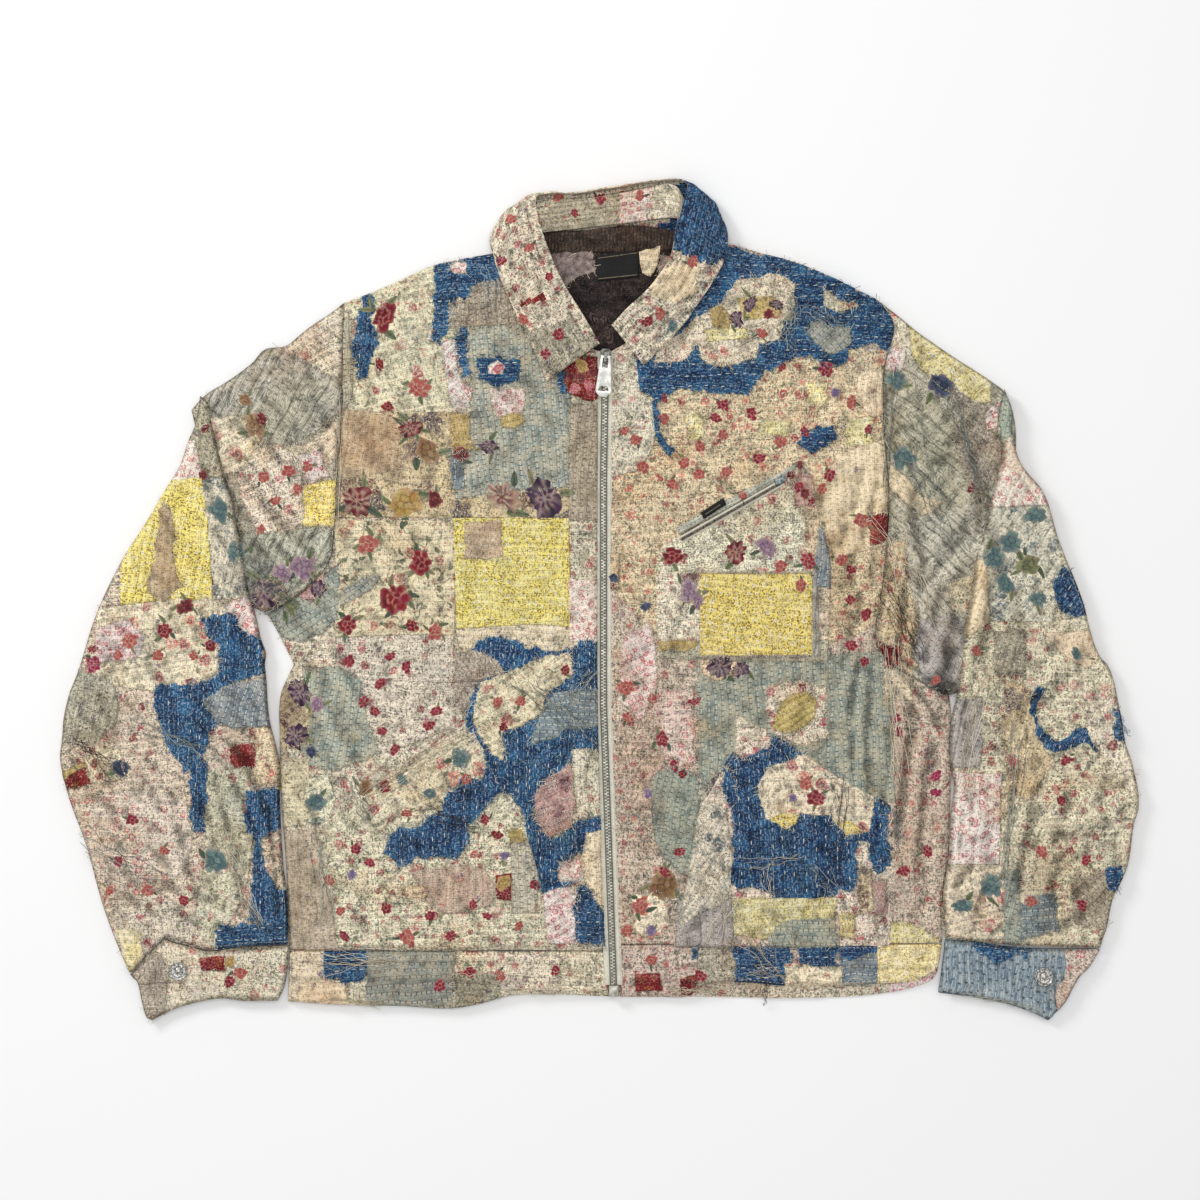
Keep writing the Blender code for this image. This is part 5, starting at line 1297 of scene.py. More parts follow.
def makeTube(name, piece, side, fabric, seed, turn=0.0, level=None, radius=4.2, ribs=0.0, crumple=1.0):
    heading = 22 if side == "left" else -22

    def shape(x, y):
        # how far each point is from the folded edges, and the height of the sleeve there
        rim = sidesOf(outlinePath(outlines[name]))
        middle = (rim[:, 0:2] + rim[:, 2:4]) / 2
        folded = distanceTo(openEnds[name], *middle.T) > 5.0
        return distanceTo(rim[folded], x, y), sleeveLevel(side, x,
                                                          y) if level is None else np.full(len(x), level)

    def top(x, y, edge):
        fold, full = shape(x, y)
        small = ripples(seed, x, y, ((1.0, 32, 5, heading), (0.34, 16, 7, heading), (0.15, 8, 7, None)))
        crumpled = full + crumple * (creaseHeight(sleeveCreases[side], x, y) + small)
        if ribs:
            crumpled = crumpled + ribs * np.cos(2 * np.pi * (x + 0.06 * y) / 7.0)
        low = full * 0.45
        settle = 0.75 + 0.25 * np.clip(distanceTo(openEnds[name], x, y) / 5.0, 0, 1)
        return low + (crumpled * settle - low) * rounded(fold, radius)

    def under(x, y, edge):
        fold, full = shape(x, y)
        low = full * 0.45
        flat = 0.3 + np.abs(ripples(seed + 3, x, y, ((0.2, 26, 4, None),)))
        return low + (flat - low) * rounded(fold, radius)

    clothSheet(piece, outlines[name], fabric, patchTable[name], top, fineness, seed, turn=turn, edgeDrop=0.0,
               under=under)


makeTube("upperLeft", "sleeveLeftUpper", "left", "ditsyGrey", 61, level=6.9)
makeTube("foreLeft", "sleeveLeftFore", "left", "ditsy", 62)
makeTube("upperRight", "sleeveRightUpper", "right", "tangle", 63, turn=-38, level=6.9)
makeTube("foreRight", "sleeveRightFore", "right", "ditsy", 64)
makeTube("cuffLeft", "cuffLeft", "left", "ditsyPale", 65, level=7.6, radius=3.2, crumple=0.45)
makeTube("cuffRight", "cuffRight", "right", "greyRib", 66, turn=90, level=7.5, radius=3.2, ribs=0.45,
         crumple=0.4)
print("sleeves and cuffs laid")


# Collar: a stand round the neck and a leaf folded over it

# the stand's lower and upper edge, then the leaf's roll, its turned-over middle and its outer edge
standRows = np.array([
    (-12, 222, 9.5, -4, 226, 10.0), (-48, 262, 9.5, -35, 272, 13.5), (-70, 290, 12.0, -46, 302, 15.0),
    (-75, 306, 12.0, -52, 319, 15.0), (-64, 318, 9.0, -57, 340, 14.0), (-46, 320, 8.4, -45, 347, 12.0),
    (-10, 324, 8.4, -10, 349, 11.5), (32, 329, 8.4, 32, 356, 11.5), (64, 332, 8.4, 60, 361, 12.0),
    (86, 322, 9.0, 70, 352, 14.0), (96, 303, 12.0, 66, 328, 15.0), (82, 278, 12.0, 60, 296, 15.0),
    (58, 252, 9.8, 43, 269, 13.5), (24, 226, 9.8, 12, 240, 11.0)], float)
leafRows = np.array([
    (0, 223, 13.0, -22, 208, 12.5, -46, 190, 9.4), (-14, 247, 15.0, -38, 232, 14.5, -57, 216, 9.4),
    (-32, 276, 17.0, -56, 265, 17.5, -73, 250, 9.4), (-44, 303, 18.5, -70, 296, 19.5, -86, 278, 11.8),
    (-50, 321, 18.5, -78, 318, 20.0, -92, 297, 11.8), (-55, 341, 17.5, -84, 338, 15.0, -95, 312, 6.0),
    (-54, 350, 16.0, -78, 350, 3.0, -88, 322, 1.1), (-44, 352, 14.0, -54, 359, -0.5, -64, 286, 1.1),
    (-10, 354, 13.6, -10, 362, -0.5, -12, 286, 1.1), (32, 361, 13.6, 32, 368, -0.5, 28, 286, 1.1),
    (62, 365, 14.0, 68, 371, -0.5, 70, 286, 1.1), (75, 361, 16.0, 96, 357, 3.0, 101, 330, 1.1),
    (73, 349, 17.5, 104, 342, 15.0, 110, 318, 6.0), (68, 329, 18.5, 98, 322, 20.0, 109, 300, 11.8),
    (61, 299, 18.5, 86, 294, 19.5, 99, 279, 11.8), (44, 273, 17.0, 64, 258, 17.5, 78, 248, 9.4),
    (24, 254, 15.0, 42, 238, 14.5, 57, 222, 9.4), (10, 239, 13.6, 24, 222, 12.5, 38, 204, 9.4)], float)
collar = {"thickness": 1.7, "standThickness": 1.3, "grain": 2.2, "leafColumns": 30, "standColumns": 14}
collarPatches = [
    ("indigo", [(48, 345), (66, 362), (80, 368), (112, 345), (112, 300), (96, 290), (74, 300), (58, 304),
                (52, 322)]),
    ("ditsyPale", [(-66, 372), (40, 372), (60, 362), (60, 330), (-50, 330)]),
    ("teal", [(54, 238), (64, 240), (66, 226), (54, 228)]),
    ("redGold", [(-69, 259), (-48, 266), (-47, 261), (-68, 254)]),
    ("tan", [(48, 290), (82, 290), (84, 268), (62, 258), (44, 262)]),
    ("ditsyGrey", [(-56, 236), (-24, 244), (0, 218), (-30, 196), (-60, 200)]),
]
standPatches = [
    ("ring", [(16, 366), (44, 366), (44, 320), (18, 320)]),
    ("ditsyPale", [(44, 372), (96, 372), (96, 230), (40, 230)]),
    ("indigo", [(58, 330), (80, 330), (92, 290), (70, 292)]),
    ("ditsyPale", [(-86, 356), (-46, 356), (-46, 300), (-86, 280)]),
]


def throughRows(rows):
    # smooth rows between the given ones
    slopes = np.gradient(rows, axis=0)
    made = []
    for first, second, leave, arrive in zip(rows, rows[1:], slopes, slopes[1:]):
        steps = max(2, int(round(np.linalg.norm(second[:3] - first[:3]) / collar["grain"])))
        made.append(between(first, second, leave, arrive, (np.arange(steps) / steps)[:, None]))
    return np.concatenate([*made, rows[-1:]])


def stripPiece(name, grid, thickness, fabric, patches, seed, roughness):
    # a closed wall of even thickness round a grid of points, its edges rounded
    rows, columns = grid.shape[:2]
    normal = np.cross(np.gradient(grid, axis=0), np.gradient(grid, axis=1))
    normal /= np.maximum(np.linalg.norm(normal, axis=2), 1e-6)[:, :, None]
    i, j = np.arange(rows)[:, None] * 2.0, np.arange(columns)[None, :] * 2.0
    flat = [np.broadcast_to(v, (rows, columns)).ravel() for v in (i, j)]
    parts = ((roughness, 28, 5, None), (roughness * 0.5, 13, 6, 50), (roughness * 0.22, 7, 6, None))
    wave = ripples(seed, *flat, parts).reshape(rows, columns)
    fromEdge = np.minimum(np.minimum(i, i[::-1]), np.minimum(j, j[:, ::-1]))
    swell = thickness / 2 * (0.35 + 0.65 * rounded(fromEdge, 3.0))
    over = grid + normal * (wave + swell)[:, :, None]
    below = grid + normal * (wave * 0.6 - swell)[:, :, None]
    points = np.concatenate([over.reshape(-1, 3), below.reshape(-1, 3)])
    points[:, 2] = np.maximum(points[:, 2], 0.2)
    steps = np.concatenate([np.zeros((rows, 1)),
                            np.cumsum(np.linalg.norm(np.diff(grid, axis=1), axis=2), 1)], 1)
    rowLength = np.concatenate([[0], np.cumsum(np.linalg.norm(np.diff(grid.mean(1), axis=0), axis=1))])
    uvs = np.stack([np.broadcast_to(rowLength[:, None], (rows, columns)).ravel(), steps.ravel()], 1) * mm
    used = [fabric] + sorted({p[0] for p in patches} - {fabric})
    middle = over[:-1, :-1] * 0.5 + over[1:, 1:] * 0.5
    owner = np.zeros(middle.shape[:2], int)
    jitterX, jitterY = np.random.default_rng(seed).normal(0, 0.8, (2, owner.size))
    for kind, path in patches:
        hit = insidePath(outlinePath(path), middle[:, :, 0].ravel() + jitterX,
                         middle[:, :, 1].ravel() + jitterY)
        owner[hit.reshape(owner.shape)] = used.index(kind)
    half = rows * columns
    faces, materials = [], []
    for r in range(rows - 1):
        for c in range(columns - 1):
            a = r * columns + c
            quad = (a, a + 1, a + columns + 1, a + columns)
            faces += [quad[::-1], tuple(half + v for v in quad)]
            materials += [int(owner[r, c]), int(owner[r, c]) if used[owner[r, c]] == "indigo" else 0]
    border = [(0, c) for c in range(columns)] + [(r, columns - 1) for r in range(1, rows)]
    border += [(rows - 1, c) for c in range(columns - 2, -1, -1)] + [(r, 0) for r in range(rows - 2, 0, -1)]
    ids = [r * columns + c for r, c in border]
    faces += [(a, b, b + half, a + half) for a, b in zip(ids, ids[1:] + ids[:1])]
    materials += [0] * len(ids)
    around = sum(np.roll(wave, step, axis) for axis in (0, 1) for step in (2, -2)) / 4
    # painted shade: darker in the hollows of the ripples and a little all over, darker still on the underside
    hollow = (wave - around).ravel() * 0.8 - 0.05
    colour, wear = wearAndShadeAt(*points.T[:2], np.concatenate([hollow, np.full(half, -0.08)]))
    buildMesh(name, points, faces, [clothes[f] for f in used], materials, np.concatenate([uvs, uvs + 0.37]),
              np.concatenate([colour, wear[:, None]], 1))


leafLines = throughRows(leafRows)
share = np.linspace(0, 1, collar["leafColumns"])[None, :, None]
roll, turned, edgeLine = (leafLines[:, None, k:k + 3] for k in (0, 3, 6))
leafGrid = roll * (1 - share) ** 2 + turned * 2 * share * (1 - share) + edgeLine * share**2
stripPiece("collarLeaf", leafGrid, collar["thickness"], "ditsy", collarPatches, 71, 1.1)
standLines = throughRows(standRows)
share = np.linspace(0, 1, collar["standColumns"])[None, :, None]
standGrid = standLines[:, None, 0:3] * (1 - share) + standLines[:, None, 3:6] * share
stripPiece("collarStand", standGrid, collar["standThickness"], "standRib", standPatches, 72, 0.45)


# Inside the neck: lining and label

def liningHeight(layer, puff):
    def heightAt(x, y, edge):
        top = 2.4 + neckLift(y) + layer + ripples(81, x, y, ((puff, 22, 4, None), (puff * 0.6, 9, 5, None)))
        return top - 0.9 * (1.0 - rounded(edge, 2.0))
    return heightAt


liningOutline = [(-14, 218), (22, 218), (38, 238), (56, 258), (72, 282), (84, 302), (82, 318), (32, 326),
                 (-10, 322),
                 (-56, 316), (-66, 302), (-60, 282), (-47, 258), (-30, 238)]
clothSheet("backLining", liningOutline, "plumLining", [
    ("neckRib", 2, 0.2, 90, [(-62, 330), (90, 336), (84, 303), (56, 304), (8, 303), (-40, 302), (-66, 302)]),
    ("pinkLining", 1, 0.8, 40, [(-62, 302), (-6, 303), (-4, 286), (-22, 280), (-36, 262), (-50, 256)]),
    ("tan", 3, 0.6, 0, [(34, 303), (52, 308), (50, 292), (44, 281), (36, 284)]),
    ("pinkLining", 2, 0.8, 10, [(50, 300), (70, 300), (66, 276), (52, 270)]),
], liningHeight(0.6, 0.5), 2.6, 82)


def plainCloth(name, base, edge, threadWidth, fleck=0.1):
    # small woven trims: fine ribs and a little wear
    material, tree, shader = newMaterial(name, 0.85)
    place = addNode(tree, "ShaderNodeUVMap", uv_map="cloth")[0]
    worn = useGroup(tree, "wornCloth",
                    {"Vector": place, "Color": paint(*base), "Fade": 0.5, "Faded": paint(*edge),
                     "Fleck": fleck})[0]
    tint = addNode(tree, "ShaderNodeAttribute", attribute_name="tint")
    tree.links.new(blend(1.0, worn, tint["Color"], "MULTIPLY"), shader["Base Color"])
    weave = useGroup(tree, "plainWeave", {"Vector": place, "Thread": threadWidth * mm})[0]
    addBump(tree, shader, weave, 0.3, 0.8)
    clothes[name] = material


plainCloth("labelBlack", (10, 9, 9), (24, 22, 21), 0.6, 0.0)
plainCloth("labelEdge", (120, 108, 88), (90, 84, 74), 0.6)
plainCloth("zipTape", (205, 201, 184), (228, 224, 208), 0.9)
neckBorder = [[(-1.5, 297.6), (32.5, 302.4), (32.5, 301.6), (-1.5, 296.8)],
              [(-1.5, 279.8), (32.5, 283.4), (32.5, 282.6), (-1.5, 279.0)]]
clothSheet("neckLabel",
           [(-3, 299), (15, 302), (34, 304), (34, 290), (34, 281), (15, 279), (-3, 277), (-3, 288)],
           "labelBlack", [("labelEdge", 1, 0.0, 0, line) for line in neckBorder],
           liningHeight(2.0, 0.35), 2.2, 83)
clothSheet("chestLabel", [(87, 76.5), (97, 83), (107, 89.5), (110, 83.5), (100, 77), (90, 70.5)],
           "labelBlack",
           [("labelEdge", 1, 0.0, 0, [(91.5, 74.5), (104.5, 83), (104.0, 83.8), (91, 75.3)])],
           onFront(2, 0.8, 0.05, 84), 1.8, 85)
print("collar, lining and labels laid")


# Trims: one tree of nodes repeats teeth and stitches, another turns paths into threads

mesh3d, paintSocket = "NodeSocketGeometry", "NodeSocketMaterial"


def endTree(tree, given, result, geometry):
    real = addNode(tree, "GeometryNodeRealizeInstances", {"Geometry": geometry})[0]
    done = addNode(tree, "GeometryNodeSetMaterial", {"Geometry": real, "Material": given["Material"]})[0]
    tree.links.new(done, result[0])


def copiesTree(name, kind, shape):
    tree, given, result = newGroup(name,
                                   {"Geometry": mesh3d, "Length": 0.003, "Width": 0.001, "Height": 0.001,
                                    "Material": paintSocket}, {"Geometry": mesh3d}, "GeometryNodeTree")
    size = addBeside("ShaderNodeCombineXYZ", {0: given["Length"], 1: given["Width"], 2: given["Height"]})[0]
    unit = addNode(tree, "GeometryNodeTransform",
                   {"Geometry": addNode(tree, kind, shape)[0], "Scale": size})[0]
    turn, stretch = (addNode(tree, "GeometryNodeInputNamedAttribute", {"Name": label},
                             data_type="FLOAT_VECTOR")[0]
                     for label in ("turn", "stretch"))
    points = addNode(tree, "GeometryNodeMeshToPoints", {"Mesh": given["Geometry"]})[0]
    endTree(tree, given, result, addNode(tree, "GeometryNodeInstanceOnPoints", {
        "Points": points, "Instance": unit, "Rotation": turn, "Scale": stretch})[0])


def threadTree():
    tree, given, result = newGroup("threadTubes",
                                   {"Geometry": mesh3d, "Radius": 0.0002, "Material": paintSocket},
                                   {"Geometry": mesh3d}, "GeometryNodeTree")
    curve = addNode(tree, "GeometryNodeMeshToCurve", {"Mesh": given["Geometry"]})[0]
    section = addNode(tree, "GeometryNodeCurvePrimitiveCircle",
                      {"Resolution": 3, "Radius": given["Radius"]})[0]
    endTree(tree, given, result, addNode(tree, "GeometryNodeCurveToMesh", {
        "Curve": curve, "Profile Curve": section, "Fill Caps": True})[0])


def settled(thing):
    # the object's mesh with its modifiers applied
    return bpy.data.meshes.new_from_object(thing.evaluated_get(bpy.context.evaluated_depsgraph_get()))


def grown(name, points, edges, attributes, treeName, sizes, material):
    # runs a tree on points or paths, and keeps its result as one plain mesh; sizes are in millimetres
    mesh = bpy.data.meshes.new(name + "Seed")
    mesh.from_pydata((np.asarray(points, float) * mm).tolist(), edges, [])
    for label, values in attributes.items():
        kind, key = ("FLOAT_COLOR", "color") if label == "tint" else ("FLOAT_VECTOR", "vector")
        mesh.attributes.new(label, kind, "POINT").data.foreach_set(key,
                                                                   np.asarray(values, np.float32).ravel())
    seedThing = addObject(name + "Seed", mesh)
    modifier = seedThing.modifiers.new("grow", "NODES")
    modifier.node_group = bpy.data.node_groups[treeName]
    sockets = {item.name: item.identifier
               for item in modifier.node_group.interface.items_tree if item.in_out == "INPUT"}
    for label, value in sizes.items():
        modifier[sockets[label]] = value * mm
    modifier[sockets["Material"]] = material
    result = settled(seedThing)
    bpy.data.objects.remove(seedThing)
    result.name = name
    result.polygons.foreach_set("use_smooth", np.full(len(result.polygons), treeName != "squareCopies"))
    finished[name] = addObject(name, result)


copiesTree("squareCopies", "GeometryNodeMeshCube", {"Size": (1.0, 1.0, 1.0)})
copiesTree("roundCopies", "GeometryNodeMeshIcoSphere", {"Radius": 0.5, "Subdivisions": 1})
threadTree()


def threadMaterial(name, roughness):
    material, tree, shader = newMaterial(name, roughness, 0.2)
    tint = addNode(tree, "ShaderNodeAttribute", attribute_name="tint")
    speckle = noiseAt(addNode(tree, "ShaderNodeTexCoord")["Object"], 900.0, 1.0, "3D")
    tone = greyOf(spread(speckle, 0.35, 0.65, 0.72, 1.1))
    tree.links.new(blend(1.0, tint["Color"], tone, "MULTIPLY"), shader["Base Color"])
    return material


def metalMaterial(name, bright, dull, roughness, scale=420.0):
    # worn metal: cloudy tarnish, fine scratches
    material, tree, shader = newMaterial(name, 0.5)
    place = addNode(tree, "ShaderNodeTexCoord")["Object"]
    tarnish = noiseAt(place, scale, 4.0, "3D")
    tree.links.new(blend(spread(tarnish, 0.38, 0.64), paint(*bright), paint(*dull)), shader["Base Color"])
    tree.links.new(spread(tarnish, 0.3, 0.7, roughness, roughness + 0.22), shader["Roughness"])
    addBump(tree, shader, noiseAt(stretched(place, (2600.0, 160.0, 900.0)), 1.0, 2.0, "3D"), 0.05, 0.5)
    shader["Metallic"].default_value = 1.0
    return material


threadPaint = threadMaterial("cottonThread", 0.85)
bloomPaint = threadMaterial("printedBloom", 0.9)
silver = metalMaterial("silverMetal", (228, 228, 224), (196, 194, 188), 0.32, 160.0)
aluminium = metalMaterial("dullZipMetal", (206, 204, 192), (158, 156, 144), 0.42, 240.0)
sliderMetal = metalMaterial("sliderMetal", (150, 148, 142), (84, 82, 78), 0.36, 300.0)
darkBrass = metalMaterial("darkBrass", (120, 108, 92), (52, 46, 42), 0.4)
tealMetal = metalMaterial("greyTealMetal", (140, 150, 150), (86, 96, 98), 0.35)
tackMetal = metalMaterial("tackMetal", (206, 204, 198), (84, 80, 76), 0.3, 700.0)


def solidCopy(node, name, material, bevel):
    # the solid's own mesh with softened edges
    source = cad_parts[node]
    shape = bmesh.new()
    shape.from_mesh(source.data)
    bmesh.ops.transform(shape, matrix=source.matrix_world, verts=shape.verts)
    bmesh.ops.remove_doubles(shape, verts=shape.verts, dist=1e-6)
    bmesh.ops.dissolve_limit(shape, angle_limit=0.03, verts=shape.verts, edges=shape.edges)
    mesh = bpy.data.meshes.new(name)
    shape.to_mesh(mesh)
    shape.free()
    mesh.materials.clear()
    mesh.materials.append(material)
    thing = finished[name] = addObject(name, mesh)
    edge = thing.modifiers.new("edge", "BEVEL")
    edge.width = bevel * mm
    edge.segments = 2
    edge.angle_limit = math.radians(35)
    edge.harden_normals = False
    plain = settled(thing)
    thing.modifiers.clear()
    thing.data = plain
    plain.polygons.foreach_set("use_smooth", np.ones(len(plain.polygons), bool))
    plain.set_sharp_from_angle(angle=math.radians(40))


def layTape(name, lines, uvs, shades, flip=False):
    # a tape from rows of points, with painted shade where the shades say so
    rows, columns = len(lines), len(lines[0])
    corners = ((0, 1, columns + 1, columns), (1, 0, columns, columns + 1))[flip]
    faces = [tuple(r * columns + c + k for k in corners) for r in range(rows - 1) for c in range(columns - 1)]
    points = [point for line in lines for point in line]
    buildMesh(name, points, faces, [clothes["zipTape"]], None, uvs,
              [(shade, shade, shade, 0.2) for shade in shades * rows])


def layTeeth(name, teeth, angle, sizes, material):
    turns = [(0, 0, angle)] * len(teeth)
    grown(name, teeth, [], {"turn": turns, "stretch": [(1, 1, 1)] * len(teeth)}, "squareCopies",
          sizes, material)


frontZip = {"pitch": 2.7, "toothSize": {"Length": 2.2, "Width": 1.15, "Height": 1.9}, "toothZ": 7.35,
            "toothOut": 0.85,
            "tapeHalf": 8.0, "tapeStep": 2.4, "top": 214.0, "bottom": -332.0}
# across one half of the tape, from the teeth out: share of the half width, and height
tapeHalfProfile = ((0.06, 6.5), (0.18, 6.9), (0.28, 6.1), (0.36, 6.1), (0.44, 6.6), (0.62, 6.6), (0.96, 6.25),
                   (1.0, 5.5))


def layFrontZip():
    levels = np.arange(frontZip["bottom"] - 1.0, frontZip["top"] + 4.0, frontZip["tapeStep"])
    profile = [(-share, z) for share, z in reversed(tapeHalfProfile)] + list(tapeHalfProfile)
    wave = ripples(91, levels, levels * 0.0, ((0.25, 40, 3, 0), (0.12, 14, 3, 0)))
    half = frontZip["tapeHalf"]
    lines = [[(x + share * half, y, z + w * (1.0 if abs(share) > 0.3 else 0.3)) for share, z in profile]
             for y, x, w in zip(levels, np.interp(levels, *zipLine.T), wave)]
    # painted shade: darkest in the grooves beside the teeth, dark under them
    shades = [0.28 if 0.25 < abs(s) < 0.4 else 0.4 if abs(s) < 0.25 else 1.06 for s, _ in profile]
    layTape("zipTapes", lines,
            [((y + 400) * mm, share * half * mm) for y in levels for share, _ in profile], shades)
    rows = np.arange(frontZip["bottom"], frontZip["top"] - 3.0, frontZip["pitch"])
    teeth = [(float(np.interp(y, *zipLine.T)) + side * frontZip["toothOut"], y, frontZip["toothZ"])
             for side, start in ((-1, 0.0), (1, frontZip["pitch"] / 2)) for y in rows + start]
    layTeeth("zipTeeth", teeth, 0, frontZip["toothSize"], aluminium)
    solidCopy("zip_box", "zipBox", aluminium, 0.6)
    solidCopy("zip_slider", "zipSlider", sliderMetal, 0.4)
    solidCopy("zip_pull", "zipPull", silver, 0.32)


chestZip = {"start": (70.0, 53.0), "end": (160.0, 104.0), "pitch": 2.1, "tapeHalf": 3.0,
            "toothSize": {"Length": 1.0, "Width": 1.3, "Height": 1.0}}
chestProfile = ((-1.0, -0.9), (-0.9, 0.0), (-0.5, 0.2), (-0.3, 0.0), (0.0, -0.1), (0.3, 0.0), (0.5, 0.2),
                (0.9, 0.0), (1.0, -0.9))


def layChestZip():
    start, end = np.array(chestZip["start"]), np.array(chestZip["end"])
    length = float(np.linalg.norm(end - start))
    along = (end - start) / length
    across = np.array((-along[1], along[0]))
    ground = onFront(1, 1.5, 0.1, 57)

    def at(s, aside, rise):
        x, y = start + along * s + across * aside
        return x, y, float(ground(np.array([x]), np.array([y]), np.array([9.0]))[0]) + rise

    steps = np.arange(0, length + 0.1, 3.0)
    half = chestZip["tapeHalf"]
    lines = [[at(s, share * half, rise) for share, rise in chestProfile] for s in steps]
    uvs = [(s * mm, share * half * mm) for s in steps for share, _ in chestProfile]
    # painted shade down the middle of the tape, under the teeth
    layTape("chestZipTape", lines, uvs,
            [0.34 if abs(share) < 0.35 else 0.96 for share, _ in chestProfile], True)
    teeth = [at(s, side * 0.5, 0.7) for side, first in ((-1, 0.0), (1, chestZip["pitch"] / 2))
             for s in np.arange(1.0 + first, length - 1.0, chestZip["pitch"])]
    layTeeth("chestZipTeeth", teeth, math.atan2(along[1], along[0]), chestZip["toothSize"], darkBrass)
    solidCopy("chest_zip_slider", "chestZipSlider", tealMetal, 0.5)


layFrontZip()
layChestZip()

tack = {"base": 7.7, "sectors": 48, "places": {"Left": (-366, -321), "Right": (385, -326)},
        "profile": ((0.0, 2.0), (1.6, 1.98), (2.3, 1.6), (2.8, 1.25), (3.3, 1.5), (4.6, 1.85), (5.8, 1.8),
                    (6.3, 1.45),
                    (6.7, 1.9), (7.4, 2.35), (7.95, 2.0), (8.2, 1.1), (8.1, 0.0))}


def layTack(side, x, y):
    # a hammered tack button, bare of any lettering
    points, faces = [], []
    draw = np.random.default_rng(len(side))
    count = tack["sectors"]
    for radius, height in tack["profile"]:
        for k in range(count if radius else 1):
            angle = 2 * math.pi * k / count
            dent = draw.normal(0, 0.05) if 2.0 < radius < 7.8 else 0.0
            points.append((x + radius * math.cos(angle), y + radius * math.sin(angle),
                           tack["base"] + height + dent))
    addDisc(faces, 0, len(tack["profile"]) - 1, count)
    last = len(points) - count
    faces.append(tuple(last + k for k in reversed(range(count))))
    buildMesh("tackButton" + side, points, faces, [tackMetal])


def addDisc(faces, start, rings, count):
    # faces from a middle point out over rings of points
    faces.extend((start, start + 1 + k, start + 1 + (k + 1) % count) for k in range(count))
    for r in range(rings - 1):
        a, b = start + 1 + r * count, start + 1 + (r + 1) * count
        faces.extend((a + k, b + k, b + (k + 1) % count, a + (k + 1) % count) for k in range(count))


for side, (x, y) in tack["places"].items():
    layTack(side, x, y)
print("zips and buttons laid")


# What lies on top of the cloth: its height, and which cloth it is

def groundTree():
    corners, faces, owners = [], [], []
    for name, thing in finished.items():
        if thing.data.uv_layers.get("cloth") is None or name in ("backPanel", "waistbandBack"):
            continue
        start = len(corners)
        corners += [v.co.copy() for v in thing.data.vertices]
        for polygon in thing.data.polygons:
            faces.append([start + v for v in polygon.vertices])
            owners.append(thing.data.materials[polygon.material_index].name.removesuffix("Cloth"))
    return BVHTree.FromPolygons(corners, faces), owners


groundSurface, groundCloths = groundTree()


def groundAt(x, y):
    # height in millimetres and the cloth's name, or nothing off the garment
    place, _, index, _ = groundSurface.ray_cast(Vector((x * mm, y * mm, 0.2)), Vector((0, 0, -1)))
    return (None, None) if place is None else (place.z / mm, groundCloths[index])


# Printed roses and leaves that stand out, each laid on the cloth as a thin piece of its own

# petals, the lines between them, and a second petal tone
bloomColours = {
    "red": ((146, 36, 44), (224, 172, 150), (96, 16, 26)),
    "crimson": ((164, 48, 62), (230, 180, 162), (112, 22, 38)),
    "coral": ((196, 104, 92), (236, 200, 174), (160, 60, 58)),
    "pink": ((218, 132, 132), (246, 218, 204), (190, 84, 98)),
    "magenta": ((178, 44, 84), (232, 176, 170), (124, 22, 56)),
    "violet": ((120, 100, 140), (78, 62, 104), (170, 154, 176)),
    "burgundy": ((100, 28, 38), (52, 18, 26), (160, 88, 78)),
    "brown": ((140, 100, 68), (84, 56, 42), (192, 158, 118)),
    "gold": ((190, 150, 78), (116, 84, 44), (220, 190, 130)),
    "teal": ((86, 112, 114), (50, 72, 82), (142, 162, 152)),
    "navy": ((44, 54, 80), (24, 28, 46), (110, 120, 140)),
    "olive": ((114, 118, 82), (66, 74, 54), (166, 166, 122)),
    "plum": ((148, 116, 136), (94, 66, 92), (196, 172, 182)),
    "inkRed": ((128, 34, 42), (226, 200, 170), (64, 22, 30)),
    "inkPlum": ((52, 32, 52), (206, 184, 166), (96, 66, 100)),
    "inkCream": ((228, 206, 174), (84, 38, 44), (196, 150, 130)),
}
leafTones = ((104, 112, 84), (120, 124, 96), (84, 94, 78), (132, 128, 98))
bloomEdge = (232, 196, 172)
bloomShape = {"scale": 0.92, "smallest": 8, "rings": 8, "sectors": 26, "smallRings": 5, "smallSectors": 16,
              "lift": 0.2,
              "leafLift": 0.14, "edgeLift": 0.04, "line": 0.13}
